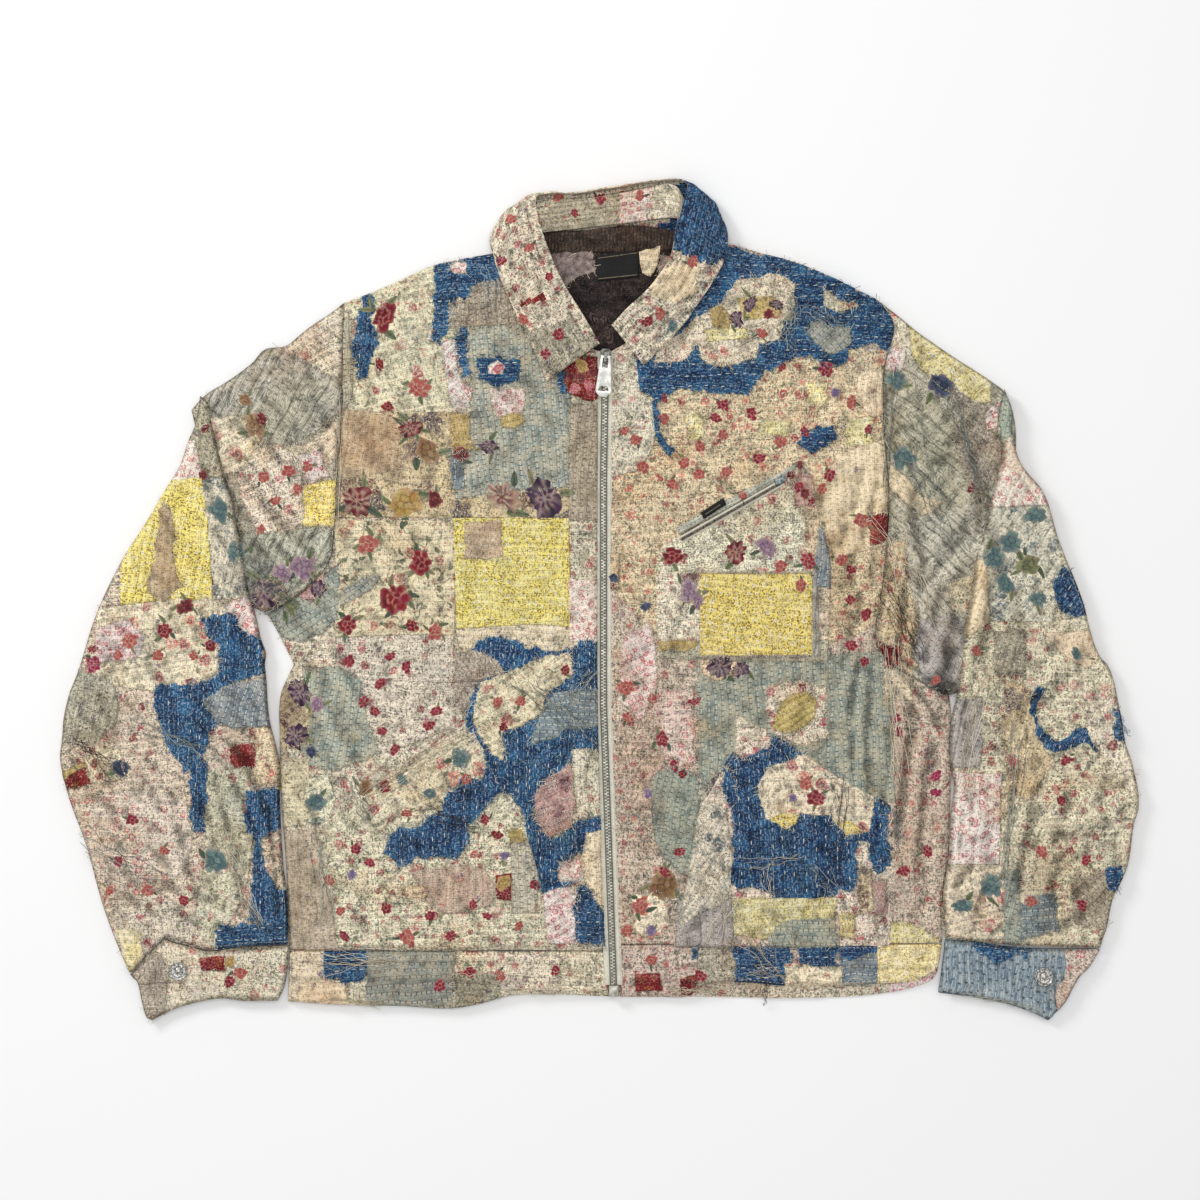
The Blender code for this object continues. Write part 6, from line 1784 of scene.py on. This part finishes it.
# each: x,y,size,kind,leaves, in mm
motifRows = """
-188,246,28,red,3 -192,205,11,red,1 -158,185,20,coral,2 -184,169,11,red,1 -121,291,13,pink,0
-88,202,12,pink,0 -16,204,16,gold,0 -22,184,11,pink,0 -10,187,9,pink,0 -16,194,11,burgundy,0
-5,198,10,burgundy,0 -25,194,9,burgundy,0 -6,181,10,crimson,0 -164,150,22,inkRed,3 -150,130,26,brown,2
-121,127,16,burgundy,1 -96,134,18,inkPlum,2 -211,87,32,inkRed,2 -170,85,30,gold,3 -144,88,17,burgundy,1
-85,90,34,inkCream,1 -48,89,36,inkPlum,1 -201,50,19,coral,3 -156,34,22,red,3 -178,3,27,red,3
-219,-21,20,red,2 -163,-21,12,red,1 -143,-26,16,coral,2 -218,-52,11,crimson,0 -182,-48,10,crimson,1
-168,-57,11,crimson,0 -191,-72,11,crimson,1 -205,-88,11,crimson,0 -195,-96,10,crimson,0
-142,-96,11,crimson,1 -148,-108,11,crimson,0 -189,-113,9,crimson,0 -178,-129,10,crimson,0 -89,-87,11,coral,1
-69,-87,11,coral,2 -84,-110,10,red,1 -30,-60,12,red,1 -204,-162,18,brown,1 -187,-161,12,red,0
-168,-184,11,coral,2 -116,-155,11,coral,2 -100,-189,11,crimson,1 -89,-203,11,red,1 -212,-215,11,crimson,1
-200,-227,10,crimson,0 -215,-238,9,violet,0 -186,-266,12,crimson,1 -167,-293,16,coral,1
-110,-264,11,crimson,1 -98,-273,10,crimson,0 -83,-221,9,violet,0 -56,-246,11,red,1 -225,-269,9,coral,0
-172,-154,12,teal,0 -148,-167,11,teal,0 -121,-136,20,teal,0 -246,-175,18,teal,0 -84,-244,16,gold,0
-82,-254,11,red,0 46,-85,11,coral,1 23,-75,16,coral,2 82,-87,11,crimson,1 24,-101,11,coral,1
54,-120,16,crimson,2 64,-143,11,crimson,1 71,-150,9,red,0 42,-167,9,violet,0 69,-217,11,crimson,1
56,-235,13,crimson,1 24,-286,11,coral,1 44,-286,10,violet,1 218,-38,11,crimson,1 230,-52,11,crimson,1
256,-102,11,crimson,1 259,-114,9,red,0 292,-152,11,magenta,0 291,-166,11,magenta,0 298,-186,20,red,1
284,-218,12,crimson,1 263,-234,11,crimson,1 291,-69,11,coral,1 179,-158,12,coral,2 188,-171,16,crimson,2
167,-170,9,violet,1 55,-246,26,brown,2 35,-264,18,coral,2 141,232,11,coral,2 158,203,9,crimson,0
196,200,16,crimson,1 107,170,12,crimson,1 100,159,11,crimson,1 132,163,12,crimson,1 55,158,11,coral,1
56,176,9,crimson,0 22,148,11,coral,1 31,140,11,coral,1 107,144,11,coral,1 37,116,11,coral,1
86,110,11,coral,2 138,124,12,crimson,1 73,120,11,coral,1 157,138,11,coral,1 178,147,11,crimson,1
199,109,12,crimson,1 193,97,11,coral,0 110,112,10,coral,1 63,101,11,coral,1 204,181,9,violet,0
218,173,11,coral,1 233,149,10,crimson,1 87,134,11,coral,1 124,91,10,coral,1 118,245,16,inkPlum,1
130,258,17,inkPlum,1 153,257,12,inkPlum,0 146,249,11,burgundy,0 166,109,9,burgundy,1 172,99,11,crimson,0
178,93,10,burgundy,1 184,85,9,crimson,0 174,118,8,burgundy,0 118,42,22,inkRed,1 144,46,19,plum,0
157,30,13,coral,1 180,35,16,crimson,1 64,39,19,red,1 77,10,22,plum,1 85,1,18,plum,0 174,14,11,coral,1
40,-5,11,navy,0 12,20,9,navy,0 104,-56,24,inkPlum,0 122,-60,18,inkPlum,0 210,36,12,coral,1
217,1,11,crimson,1 228,70,16,coral,1 218,27,11,red,1 231,-12,12,crimson,0 -330,79,24,teal,0
-316,42,20,teal,0 -342,149,10,burgundy,0 -344,109,9,burgundy,0 -378,-25,17,red,2 -383,-47,11,coral,2
-338,-38,11,red,2 -359,-5,16,burgundy,2 -352,-47,9,coral,1 -439,-55,16,magenta,0 -416,-144,17,navy,0
-461,-136,19,navy,0 -313,-322,13,coral,1 -321,-313,11,gold,0 -338,-314,11,red,0 -334,-227,24,teal,0
-440,-42,11,crimson,0 -408,-34,16,coral,0 -418,-47,12,coral,0 -300,153,22,brown,2 -308,175,12,brown,1
-294,158,12,burgundy,1 -292,107,12,coral,2 -270,113,13,coral,1 -281,87,11,coral,2 -294,62,11,coral,1
-254,116,12,coral,1 -262,97,11,coral,1 -291,8,30,inkPlum,1 -275,24,18,plum,1 -258,30,24,plum,2
-268,-4,20,olive,0 -245,10,18,inkPlum,1 -282,-10,16,navy,0 -261,-79,24,inkPlum,1 -264,-117,22,inkPlum,1
-245,-90,16,plum,0 -251,-131,12,navy,1 295,187,26,navy,0 257,192,18,teal,0 265,124,22,teal,0
322,98,9,burgundy,0 378,74,22,teal,0 356,50,26,teal,0 341,36,22,teal,0 371,31,22,olive,2 351,15,20,teal,0
380,2,18,teal,0 339,-247,24,teal,1 313,-264,20,teal,1 413,-46,13,teal,0 326,-43,11,coral,1
432,-53,11,crimson,1 400,-173,11,crimson,1 383,-217,12,coral,1 422,-225,11,crimson,1 357,-138,11,coral,1
405,-138,12,crimson,1 374,-260,11,coral,1 418,-264,11,crimson,0 -77,330,11,coral,1 -86,295,12,crimson,1
-37,350,11,coral,1 -44,280,10,crimson,1 -36,231,11,crimson,1 -61,305,11,coral,2 -67,244,11,coral,1
-48,214,10,crimson,0 41,242,11,crimson,1 52,248,11,coral,1 80,294,11,coral,1 63,238,12,teal,0
0,349,11,crimson,1 35,351,10,coral,1 -22,336,9,crimson,1 -148,-273,11,crimson,1 -235,-243,11,coral,1
-222,-291,11,crimson,1 -130,-291,11,crimson,1 -70,-282,10,coral,1 -418,-225,11,crimson,1
-392,-251,11,coral,2 -405,-190,12,crimson,1 -426,-251,11,coral,1 -378,-217,11,coral,1 -361,-260,11,crimson,1
-322,-330,11,crimson,0 -113,-321,11,crimson,1 -139,-334,11,crimson,0 -87,-325,11,coral,1
-39,-321,10,crimson,1 44,-312,12,coral,1 87,-325,11,crimson,1
"""
motifs = [(int(x), int(y), int(size), kind, int(leaves))
          for x, y, size, kind, leaves in (row.split(",") for row in motifRows.split())]


def turnedBy(a, b, angle):
    c, s = math.cos(angle), math.sin(angle)
    return a * c - b * s, a * s + b * c


def layBlooms():
    draw = random.Random(21)
    points, faces, tints = [], [], []

    def corner(x, y, lift, tone):
        z, _ = groundAt(x, y)
        if z is None:
            return False
        points.append((x, y, z + lift))
        tints.append(paint(*[max(0, min(255, c + draw.uniform(-9, 9))) for c in tone]))
        return True

    def disc(x, y, toneAt, radiusAt, lift, rings, count):
        start = len(points)
        if not corner(x, y, lift, toneAt(0.0, 0.0)):
            return
        for ring in [(r + 1) / rings for r in range(rings)]:
            for angle in [2 * math.pi * k / count for k in range(count)]:
                dx, dy = radiusAt(angle)
                height = lift if ring < 1.0 else bloomShape["edgeLift"]
                if not corner(x + dx * ring, y + dy * ring, height, toneAt(ring, angle)):
                    del points[start:]
                    del tints[start:]
                    return
        addDisc(faces, start, rings, count)

    for x, y, size, kind, leaves in motifs:
        size = size * bloomShape["scale"]
        main, line, second = bloomColours[kind]
        outer, inner = draw.choice((5, 6, 7)) if size > 10 else 5, 3 if size > 12 else 1
        phase, squash, heading = draw.uniform(0, 6.28), draw.uniform(0.68, 1.0), draw.uniform(0, 3.14)
        inked = kind.startswith("ink")
        if inked:
            outer, inner = 10, 6
        petals = []
        for count, reach in ((inner, 0.3 if inner > 1 else 0.0), (outer, 0.74 if inked else 0.68)):
            for k in range(count):
                angle = phase + 6.28 * k / count + draw.uniform(-0.25, 0.25)
                petals.append((reach * draw.uniform(0.85, 1.15), angle, draw.uniform(0.0, 1.0)))
        bulge = [draw.uniform(-0.26, 0.22) for _ in range(outer)]

        def bloomTone(ring, angle):
            slim = 0.35 if inked else 1.0
            near = sorted((math.hypot((ring * math.cos(angle - a) - r) * slim,
                                      ring * math.sin(angle - a)), shade)
                          for r, a, shade in petals)
            share = min(1.0, near[0][1] * 0.75 + 0.5 * max(0.0, near[0][0] - 0.12))
            gap = near[1][0] - near[0][0]
            edge = max(0.0, 1.0 - gap / bloomShape["line"]) * (0.85 if size > bloomShape["smallest"] else 0.5)
            pale = 0.0 if inked else max(0.0, ring - 0.76) * 1.8
            tone = [m + (p - m) * share for m, p in zip(main, second)]
            tone = [t + (d - t) * edge for t, d in zip(tone, line)]
            return [(t + (h - t) * pale) * 0.85 + 8 for t, h in zip(tone, bloomEdge)]

        def bloomRadius(angle):
            lobe = ((angle - phase) / 6.28 * outer) % outer
            rise = 0.1 * math.cos(2 * math.pi * lobe) + 0.07 * math.sin(9 * angle + phase)
            reach = size / 2 * (1.0 + bulge[int(round(lobe)) % outer] + rise)
            return turnedBy(reach * math.cos(angle), reach * squash * math.sin(angle), heading)

        for k in range(leaves + (1 if size > 14 else 0)):
            side = phase + k * 2.2 + draw.uniform(-0.5, 0.5)
            long, wide = size * draw.uniform(0.2, 0.34), size * draw.uniform(0.07, 0.12)
            leafX, leafY = x + math.cos(side) * size * 0.62, y + math.sin(side) * size * 0.62
            green = draw.choice(leafTones)
            lean = side + draw.uniform(-0.7, 0.7)

            def leafTone(ring, angle):
                return [g * (0.72 if abs(math.sin(angle)) < 0.35 else 1.05) for g in green]

            def leafRadius(angle):
                return turnedBy(long * math.cos(angle),
                                wide * math.sin(angle) * (1.1 - 0.5 * math.cos(angle)), lean)

            disc(leafX, leafY, leafTone, leafRadius, bloomShape["leafLift"], 2, 10)
        finer = ("rings", "sectors") if size > bloomShape["smallest"] else ("smallRings", "smallSectors")
        disc(x, y, bloomTone, bloomRadius, bloomShape["lift"], *(bloomShape[label] for label in finer))
    buildMesh("printedRoses", points, faces, [bloomPaint], tints=tints)


layBlooms()
print("roses laid:", len(motifs))

# Stitching: running stitches on the indigo, and a line of small stitches beside the sewn edges

stitching = {"rowGap": 9.4, "runningPitch": 7.4, "running": {"Length": 4.8, "Width": 0.95, "Height": 0.6},
             "topPitch": 3.5, "top": {"Length": 2.5, "Width": 0.55, "Height": 0.5}, "inset": 2.6}
runningTones = ((196, 206, 210), (176, 192, 200), (222, 222, 212), (150, 174, 190))
topTones = ((222, 208, 178), (206, 190, 160), (150, 134, 112), (188, 172, 146))


def stitchRows(turn, outline, draw, places, turns, sizes):
    path = outlinePath(outline)
    middle = path.mean(0)
    angle = math.radians(turn + 2)
    c, s = math.cos(angle), math.sin(angle)
    local = (path - middle) @ np.array([[c, -s], [s, c]])
    for v in np.arange(local[:, 1].min(), local[:, 1].max(), stitching["rowGap"]):
        if draw.random() < 0.12:
            continue
        u = local[:, 0].min() + draw.uniform(0, 6)
        while u < local[:, 0].max():
            wobble = 0.7 * math.sin(u * 0.11 + v) + draw.uniform(-0.25, 0.25)
            x = middle[0] + u * c - (v + wobble) * s
            y = middle[1] + u * s + (v + wobble) * c
            if draw.random() < 0.86 and insidePath(path, np.array([x]), np.array([y]))[0]:
                z, fabric = groundAt(x, y)
                if fabric == "indigo":
                    places.append((x, y, z + 0.12))
                    turns.append((0, 0, angle + draw.uniform(-0.12, 0.12)))
                    sizes.append((draw.uniform(0.75, 1.2), draw.uniform(0.8, 1.1), 1))
            u += stitching["runningPitch"] + draw.uniform(-0.8, 0.8)


def layStitching():
    draw = random.Random(31)
    places, turns, sizes = [], [], []
    for fabric, _, _, turn, outline in [row for table in patchTable.values() for row in table]:
        if fabric == "indigo":
            stitchRows(turn, outline, draw, places, turns, sizes)
    tints = [paint(*runningTones[k % 4]) for k in range(len(places))]
    grown("runningStitches", places, [], {"turn": turns, "stretch": sizes, "tint": tints}, "roundCopies",
          stitching["running"], threadPaint)
    places, turns, sizes, tints = [], [], [], []
    for name in ("pocketLeft", "pocketRight", "chestPocket", "patchPocket", "frontBand", "bandLeft",
                 "bandRight", "cuffLeft",
                 "cuffRight", "foreLeft", "foreRight"):
        path = outlinePath(outlines[name], spacing=1.2)
        step = np.roll(path, -1, 0) - np.roll(path, 1, 0)
        inward = np.stack([-step[:, 1], step[:, 0]], 1) / np.linalg.norm(step, axis=1)[:, None]
        line = path + inward * stitching["inset"]
        reach = np.concatenate([[0], np.cumsum(np.linalg.norm(np.roll(line, -1, 0) - line, axis=1))])
        for at in np.arange(0, reach[-1] - 1, stitching["topPitch"]):
            k = int(np.searchsorted(reach, at)) % len(line)
            x, y = line[k]
            z, _ = groundAt(x, y)
            if z is not None:
                places.append((x, y, z + 0.02))
                turns.append((0, 0, math.atan2(step[k][1], step[k][0])))
                sizes.append((draw.uniform(0.85, 1.1), 1, 1))
                tints.append(paint(*draw.choice(topTones)))
    grown("seamStitches", places, [], {"turn": turns, "stretch": sizes, "tint": tints}, "roundCopies",
          stitching["top"],
          threadPaint)


layStitching()

# Frayed edges and loose threads

threadTones = {"indigo": ((70, 104, 140), (120, 148, 168), (34, 64, 106), (184, 198, 204)),
               "grey": ((176, 178, 164), (132, 142, 138), (206, 204, 190), (110, 116, 112)),
               "cream": ((236, 226, 202), (214, 200, 172), (240, 232, 214), (188, 172, 146)),
               "dark": ((72, 60, 56), (52, 46, 60), (96, 80, 70), (40, 40, 60))}
frayTones = {"indigo": "indigo", "fadedDenim": "grey", "chambray": "grey", "greyGreen": "grey",
             "greyLilac": "grey",
             "teal": "grey"}
fraying = {"radius": 0.24, "perBorder": 0.9, "most": 6500}
# start, end, how many, how far they stray, tone
looseThreads = [
    (90, -235, 145, -315, 7, 9, "cream"), (148, -235, 152, -300, 6, 7, "cream"),
    (112, -255, 95, -300, 5, 6, "cream"),
    (146, -330, 145, -350, 3, 2, "dark"), (130, -318, 160, -322, 7, 5, "cream"),
    (188, -232, 205, -260, 6, 6, "grey"),
    (125, -228, 175, -222, 5, 4, "grey"), (168, 270, 160, 220, 9, 9, "grey"),
    (185, 250, 205, 232, 6, 7, "grey"),
    (-200, -165, -120, -110, 12, 7, "cream"), (-215, -150, -205, -185, 6, 5, "grey"),
    (-150, -185, -105, -195, 5, 4, "dark"), (-60, -70, -15, -110, 9, 7, "grey"),
    (-30, -90, -5, -60, 6, 5, "grey"),
    (-240, -312, -180, -318, 10, 5, "cream"), (-235, -345, -190, -350, 7, 2, "cream"),
    (-80, -337, -30, -339, 8, 3, "cream"), (-40, -318, -10, -324, 6, 4, "cream"),
    (-300, 20, -262, -5, 8, 7, "grey"),
    (-455, -125, -420, -150, 8, 5, "dark"), (-440, -210, -380, -240, 9, 8, "grey"),
    (-400, -100, -340, -130, 6, 6, "grey"),
    (-330, -200, -300, -280, 9, 5, "cream"), (452, -105, 458, -118, 5, 3, "indigo"),
    (446, -234, 450, -252, 4, 2, "indigo"),
    (330, -80, 318, -170, 10, 6, "cream"), (365, -110, 350, -240, 9, 6, "grey"),
    (250, -40, 262, -150, 12, 7, "cream"),
    (245, 60, 300, -20, 14, 14, "cream"), (262, 140, 300, 60, 12, 12, "grey"),
    (250, 10, 275, -50, 8, 6, "dark"),
    (300, 180, 335, 90, 8, 10, "grey"), (80, 320, 110, 300, 4, 5, "indigo"),
    (-100, 290, -92, 262, 5, 4, "indigo"),
    (-70, 330, -90, 300, 3, 4, "cream"), (320, -342, 384, -352, 4, 2, "grey"),
    (60, -338, 110, -340, 7, 2, "cream"),
    (170, -334, 230, -333, 5, 2, "cream"), (20, -185, 60, -200, 10, 10, "grey"),
    (-248, -200, -235, -280, 9, 6, "grey"),
    (210, -160, 205, -240, 6, 5, "dark"), (-225, 170, -228, 60, 6, 4, "cream"),
    (250, 200, 250, 100, 5, 4, "grey"),
]


def layThreads():
    draw = random.Random(77)
    points, edges, tints = [], [], []

    def thread(places, tone, lift):
        start = len(points)
        for x, y in places:
            z, _ = groundAt(x, y)
            if z is None:
                z = max(points[-1][2] - lift - 0.4, 0.5) if len(points) > start else 2.0
            points.append((x, y, z + lift))
            tints.append(paint(*tone))
        edges.extend((k, k + 1) for k in range(start, len(points) - 1))

    chosen = [edge for edge in frayedEdges if draw.random() < fraying["perBorder"]]
    draw.shuffle(chosen)
    for x, y, nx, ny, fabric in chosen[:fraying["most"]]:
        kind = frayTones.get(fabric, "cream")
        if draw.random() < 0.16:
            kind = "cream"
        tone = draw.choice(threadTones[kind])
        out = draw.choice((1, 1, 1, -1))
        length = draw.uniform(2.0, 7.0 if out > 0 else 5.0)
        heading = math.atan2(ny * out, nx * out) + draw.uniform(-0.8, 0.8)
        bend = draw.uniform(-0.5, 0.5)
        places = [(x - nx * out, y - ny * out)]
        for _ in range(3):
            heading += bend
            x, y = places[-1]
            places.append((x + math.cos(heading) * length / 3, y + math.sin(heading) * length / 3))
        thread(places, tone, draw.uniform(0.2, 0.5))
    for x0, y0, x1, y1, count, stray, kind in looseThreads:
        for _ in range(count):
            ax, ay = x0 + draw.gauss(0, stray), y0 + draw.gauss(0, stray)
            bx, by = x1 + draw.gauss(0, stray), y1 + draw.gauss(0, stray)
            length = math.hypot(bx - ax, by - ay)
            steps = max(6, int(length / 3.0))
            widest = min(0.1 * length + 0.5, 6.0 if stray > 8 else 2.6)
            waves = [(draw.uniform(0.3, widest), draw.uniform(1, 7), draw.uniform(0, 6.28)) for _ in range(3)]
            places = []
            for t in [k / steps for k in range(steps + 1)]:
                side = sum(w * math.sin(f * 3.14 * t + p) for w, f, p in waves) * 0.6 / length
                places.append((ax + (bx - ax) * t - (by - ay) * side, ay + (by - ay) * t + (bx - ax) * side))
            thread(places, draw.choice(threadTones[kind]), draw.uniform(0.3, 0.8))
    grown("frayedThreads", points, edges, {"tint": tints}, "threadTubes", {"Radius": fraying["radius"]},
          threadPaint)


layThreads()
print("stitches and threads laid")

# Riding, replaced solids, cloth sizes

floral, faded, indigo = "floral_patchwork", "faded_chambray", "indigo_patchwork"
# the solids a piece stands for, and its slot
standFor = {
    "frontLeft": ("front_left", floral), "frontRight": ("front_right", floral), "backPanel": ("back", floral),
    "waistbandLeft": ("waistband_front_left", floral), "waistbandRight": ("waistband_front_right", floral),
    "waistbandBack": ("waistband_back", floral), "handPocketLeft": ("hand_pocket_left", floral),
    "handPocketRight": ("hand_pocket_right", indigo), "frontBand": ("front_band", floral),
    "chestPocket": ("chest_pocket", floral), "chestPatchPocket": ("chest_patch_pocket", "yellow_floral"),
    "chestZipWelt": ("chest_zip_welt", faded), "sleeveLeftUpper": ("sleeve_left", floral),
    "sleeveRightUpper": ("sleeve_right", faded), "sleeveLeftFore": ("", floral),
    "sleeveRightFore": ("", faded),
    "cuffLeft": ("cuff_left", floral), "cuffRight": ("cuff_right", faded),
    "collarLeaf": ("collar_leaf", floral),
    "collarStand": ("collar_stand", floral), "backLining": ("back_lining", "plum_lining"),
    "neckLabel": ("neck_label", "label_cloth"), "chestLabel": ("chest_label", "label_cloth"),
    "zipTapes": ("zip_tape_left zip_tape_right", "zip_tape"),
    "zipTeeth": ("zip_teeth_left zip_teeth_right", "zip_metal"),
    "zipBox": ("zip_box", "zip_metal"), "zipSlider": ("zip_slider", "zip_metal"),
    "zipPull": ("zip_pull", "pull_metal"),
    "chestZipTape": ("", "zip_tape"), "chestZipTeeth": ("chest_zip", "zip_metal"),
    "chestZipSlider": ("chest_zip_slider", "zip_metal"), "tackButtonLeft": ("cuff_button_left", "tack_metal"),
    "tackButtonRight": ("cuff_button_right", "tack_metal"), "printedRoses": ("", floral),
    "runningStitches": ("", indigo), "seamStitches": ("", floral), "frayedThreads": ("", indigo),
}
for name, (nodes, slot) in standFor.items():
    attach(finished[name], "pull" if name == "zipPull" else "jacket")
    if nodes:
        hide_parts(*nodes.split())
print("pieces ride on the jacket:", len(standFor))

# Cut sizes: a tube and a folded piece are cut all round; the sizes of the laid pieces are printed

# flat width and length in metres of the small and the folded pieces, and how each is held
cuts = {"collarLeaf": (0.066, 0.46, "folded"), "collarStand": (0.032, 0.40, "folded"),
        "neckLabel": (0.038, 0.026, "laid"), "chestLabel": (0.026, 0.01, "laid"),
        "chestZipWelt": (0.122, 0.01, "laid"),
        "zipTapes": (0.018, 0.55, "laid"), "chestZipTape": (0.01, 0.105, "laid")}
for name, plan in plans.items():
    if name not in cuts:
        around = 2.0 if name.startswith(("sleeve", "cuff")) else 1.0
        wide, long = np.ptp(plan[:, 0]) * mm, np.ptp(plan[:, 1]) * mm
        area = abs(signedArea(plan)) * mm * mm * around
        print("cut", name, round(wide * around, 3), round(long, 3), round(area, 4))


# Studio: pale floor, soft light, camera straight above

studio = {"cameraHeight": 2.6, "frameWidth": 1.044, "frameCentreY": 0.00087, "sensor": 36.0, "floorHalf": 4.0,
          "floorDrop": 0.05, "floorTone": 0.93, "roomLight": 0.55}
# place, width, power
lamps = {"softTop": ((0.0, 0.3, 3.2), 2.6, 36.0), "keyLeft": ((-2.2, 1.9, 1.5), 0.8, 46.0)}


def makeStudio():
    half, tone = studio["floorHalf"], studio["floorTone"]
    mesh = bpy.data.meshes.new("paleFloor")
    mesh.from_pydata([(-half, -half, 0), (half, -half, 0), (half, half, 0), (-half, half, 0)], [],
                     [(0, 1, 2, 3)])
    floor = addObject("paleFloor", mesh)
    floor.location.z = -studio["floorDrop"] * mm
    material, _, shader = newMaterial("paleFloorPaint", 0.9)
    shader["Base Color"].default_value = (tone, tone, tone, 1)
    mesh.materials.append(material)
    for name, (place, size, energy) in lamps.items():
        lamp = bpy.data.lights.new(name, "AREA")
        lamp.size = size
        lamp.energy = energy
        light = addObject(name, lamp)
        light.location = place
        light.rotation_euler = (-Vector(place)).to_track_quat("-Z", "Y").to_euler()
    world = bpy.data.worlds.new("paleRoom")
    world.use_nodes = True
    air = world.node_tree.nodes["Background"].inputs
    air[0].default_value = (1.0, 1.0, 1.0, 1.0)
    air[1].default_value = studio["roomLight"]
    scene.world = world
    lens = bpy.data.cameras.new("overhead")
    lens.sensor_width = studio["sensor"]
    lens.lens = studio["sensor"] * studio["cameraHeight"] / studio["frameWidth"]
    lens.clip_end = 20.0
    camera = addObject("overhead", lens)
    camera.location = (0.0, studio["frameCentreY"], studio["cameraHeight"])
    scene.camera = camera
    scene.view_settings.view_transform = "Standard"


makeStudio()
print("triangles:", sum(sum(len(p.vertices) - 2 for p in o.data.polygons) for o in finished.values()))
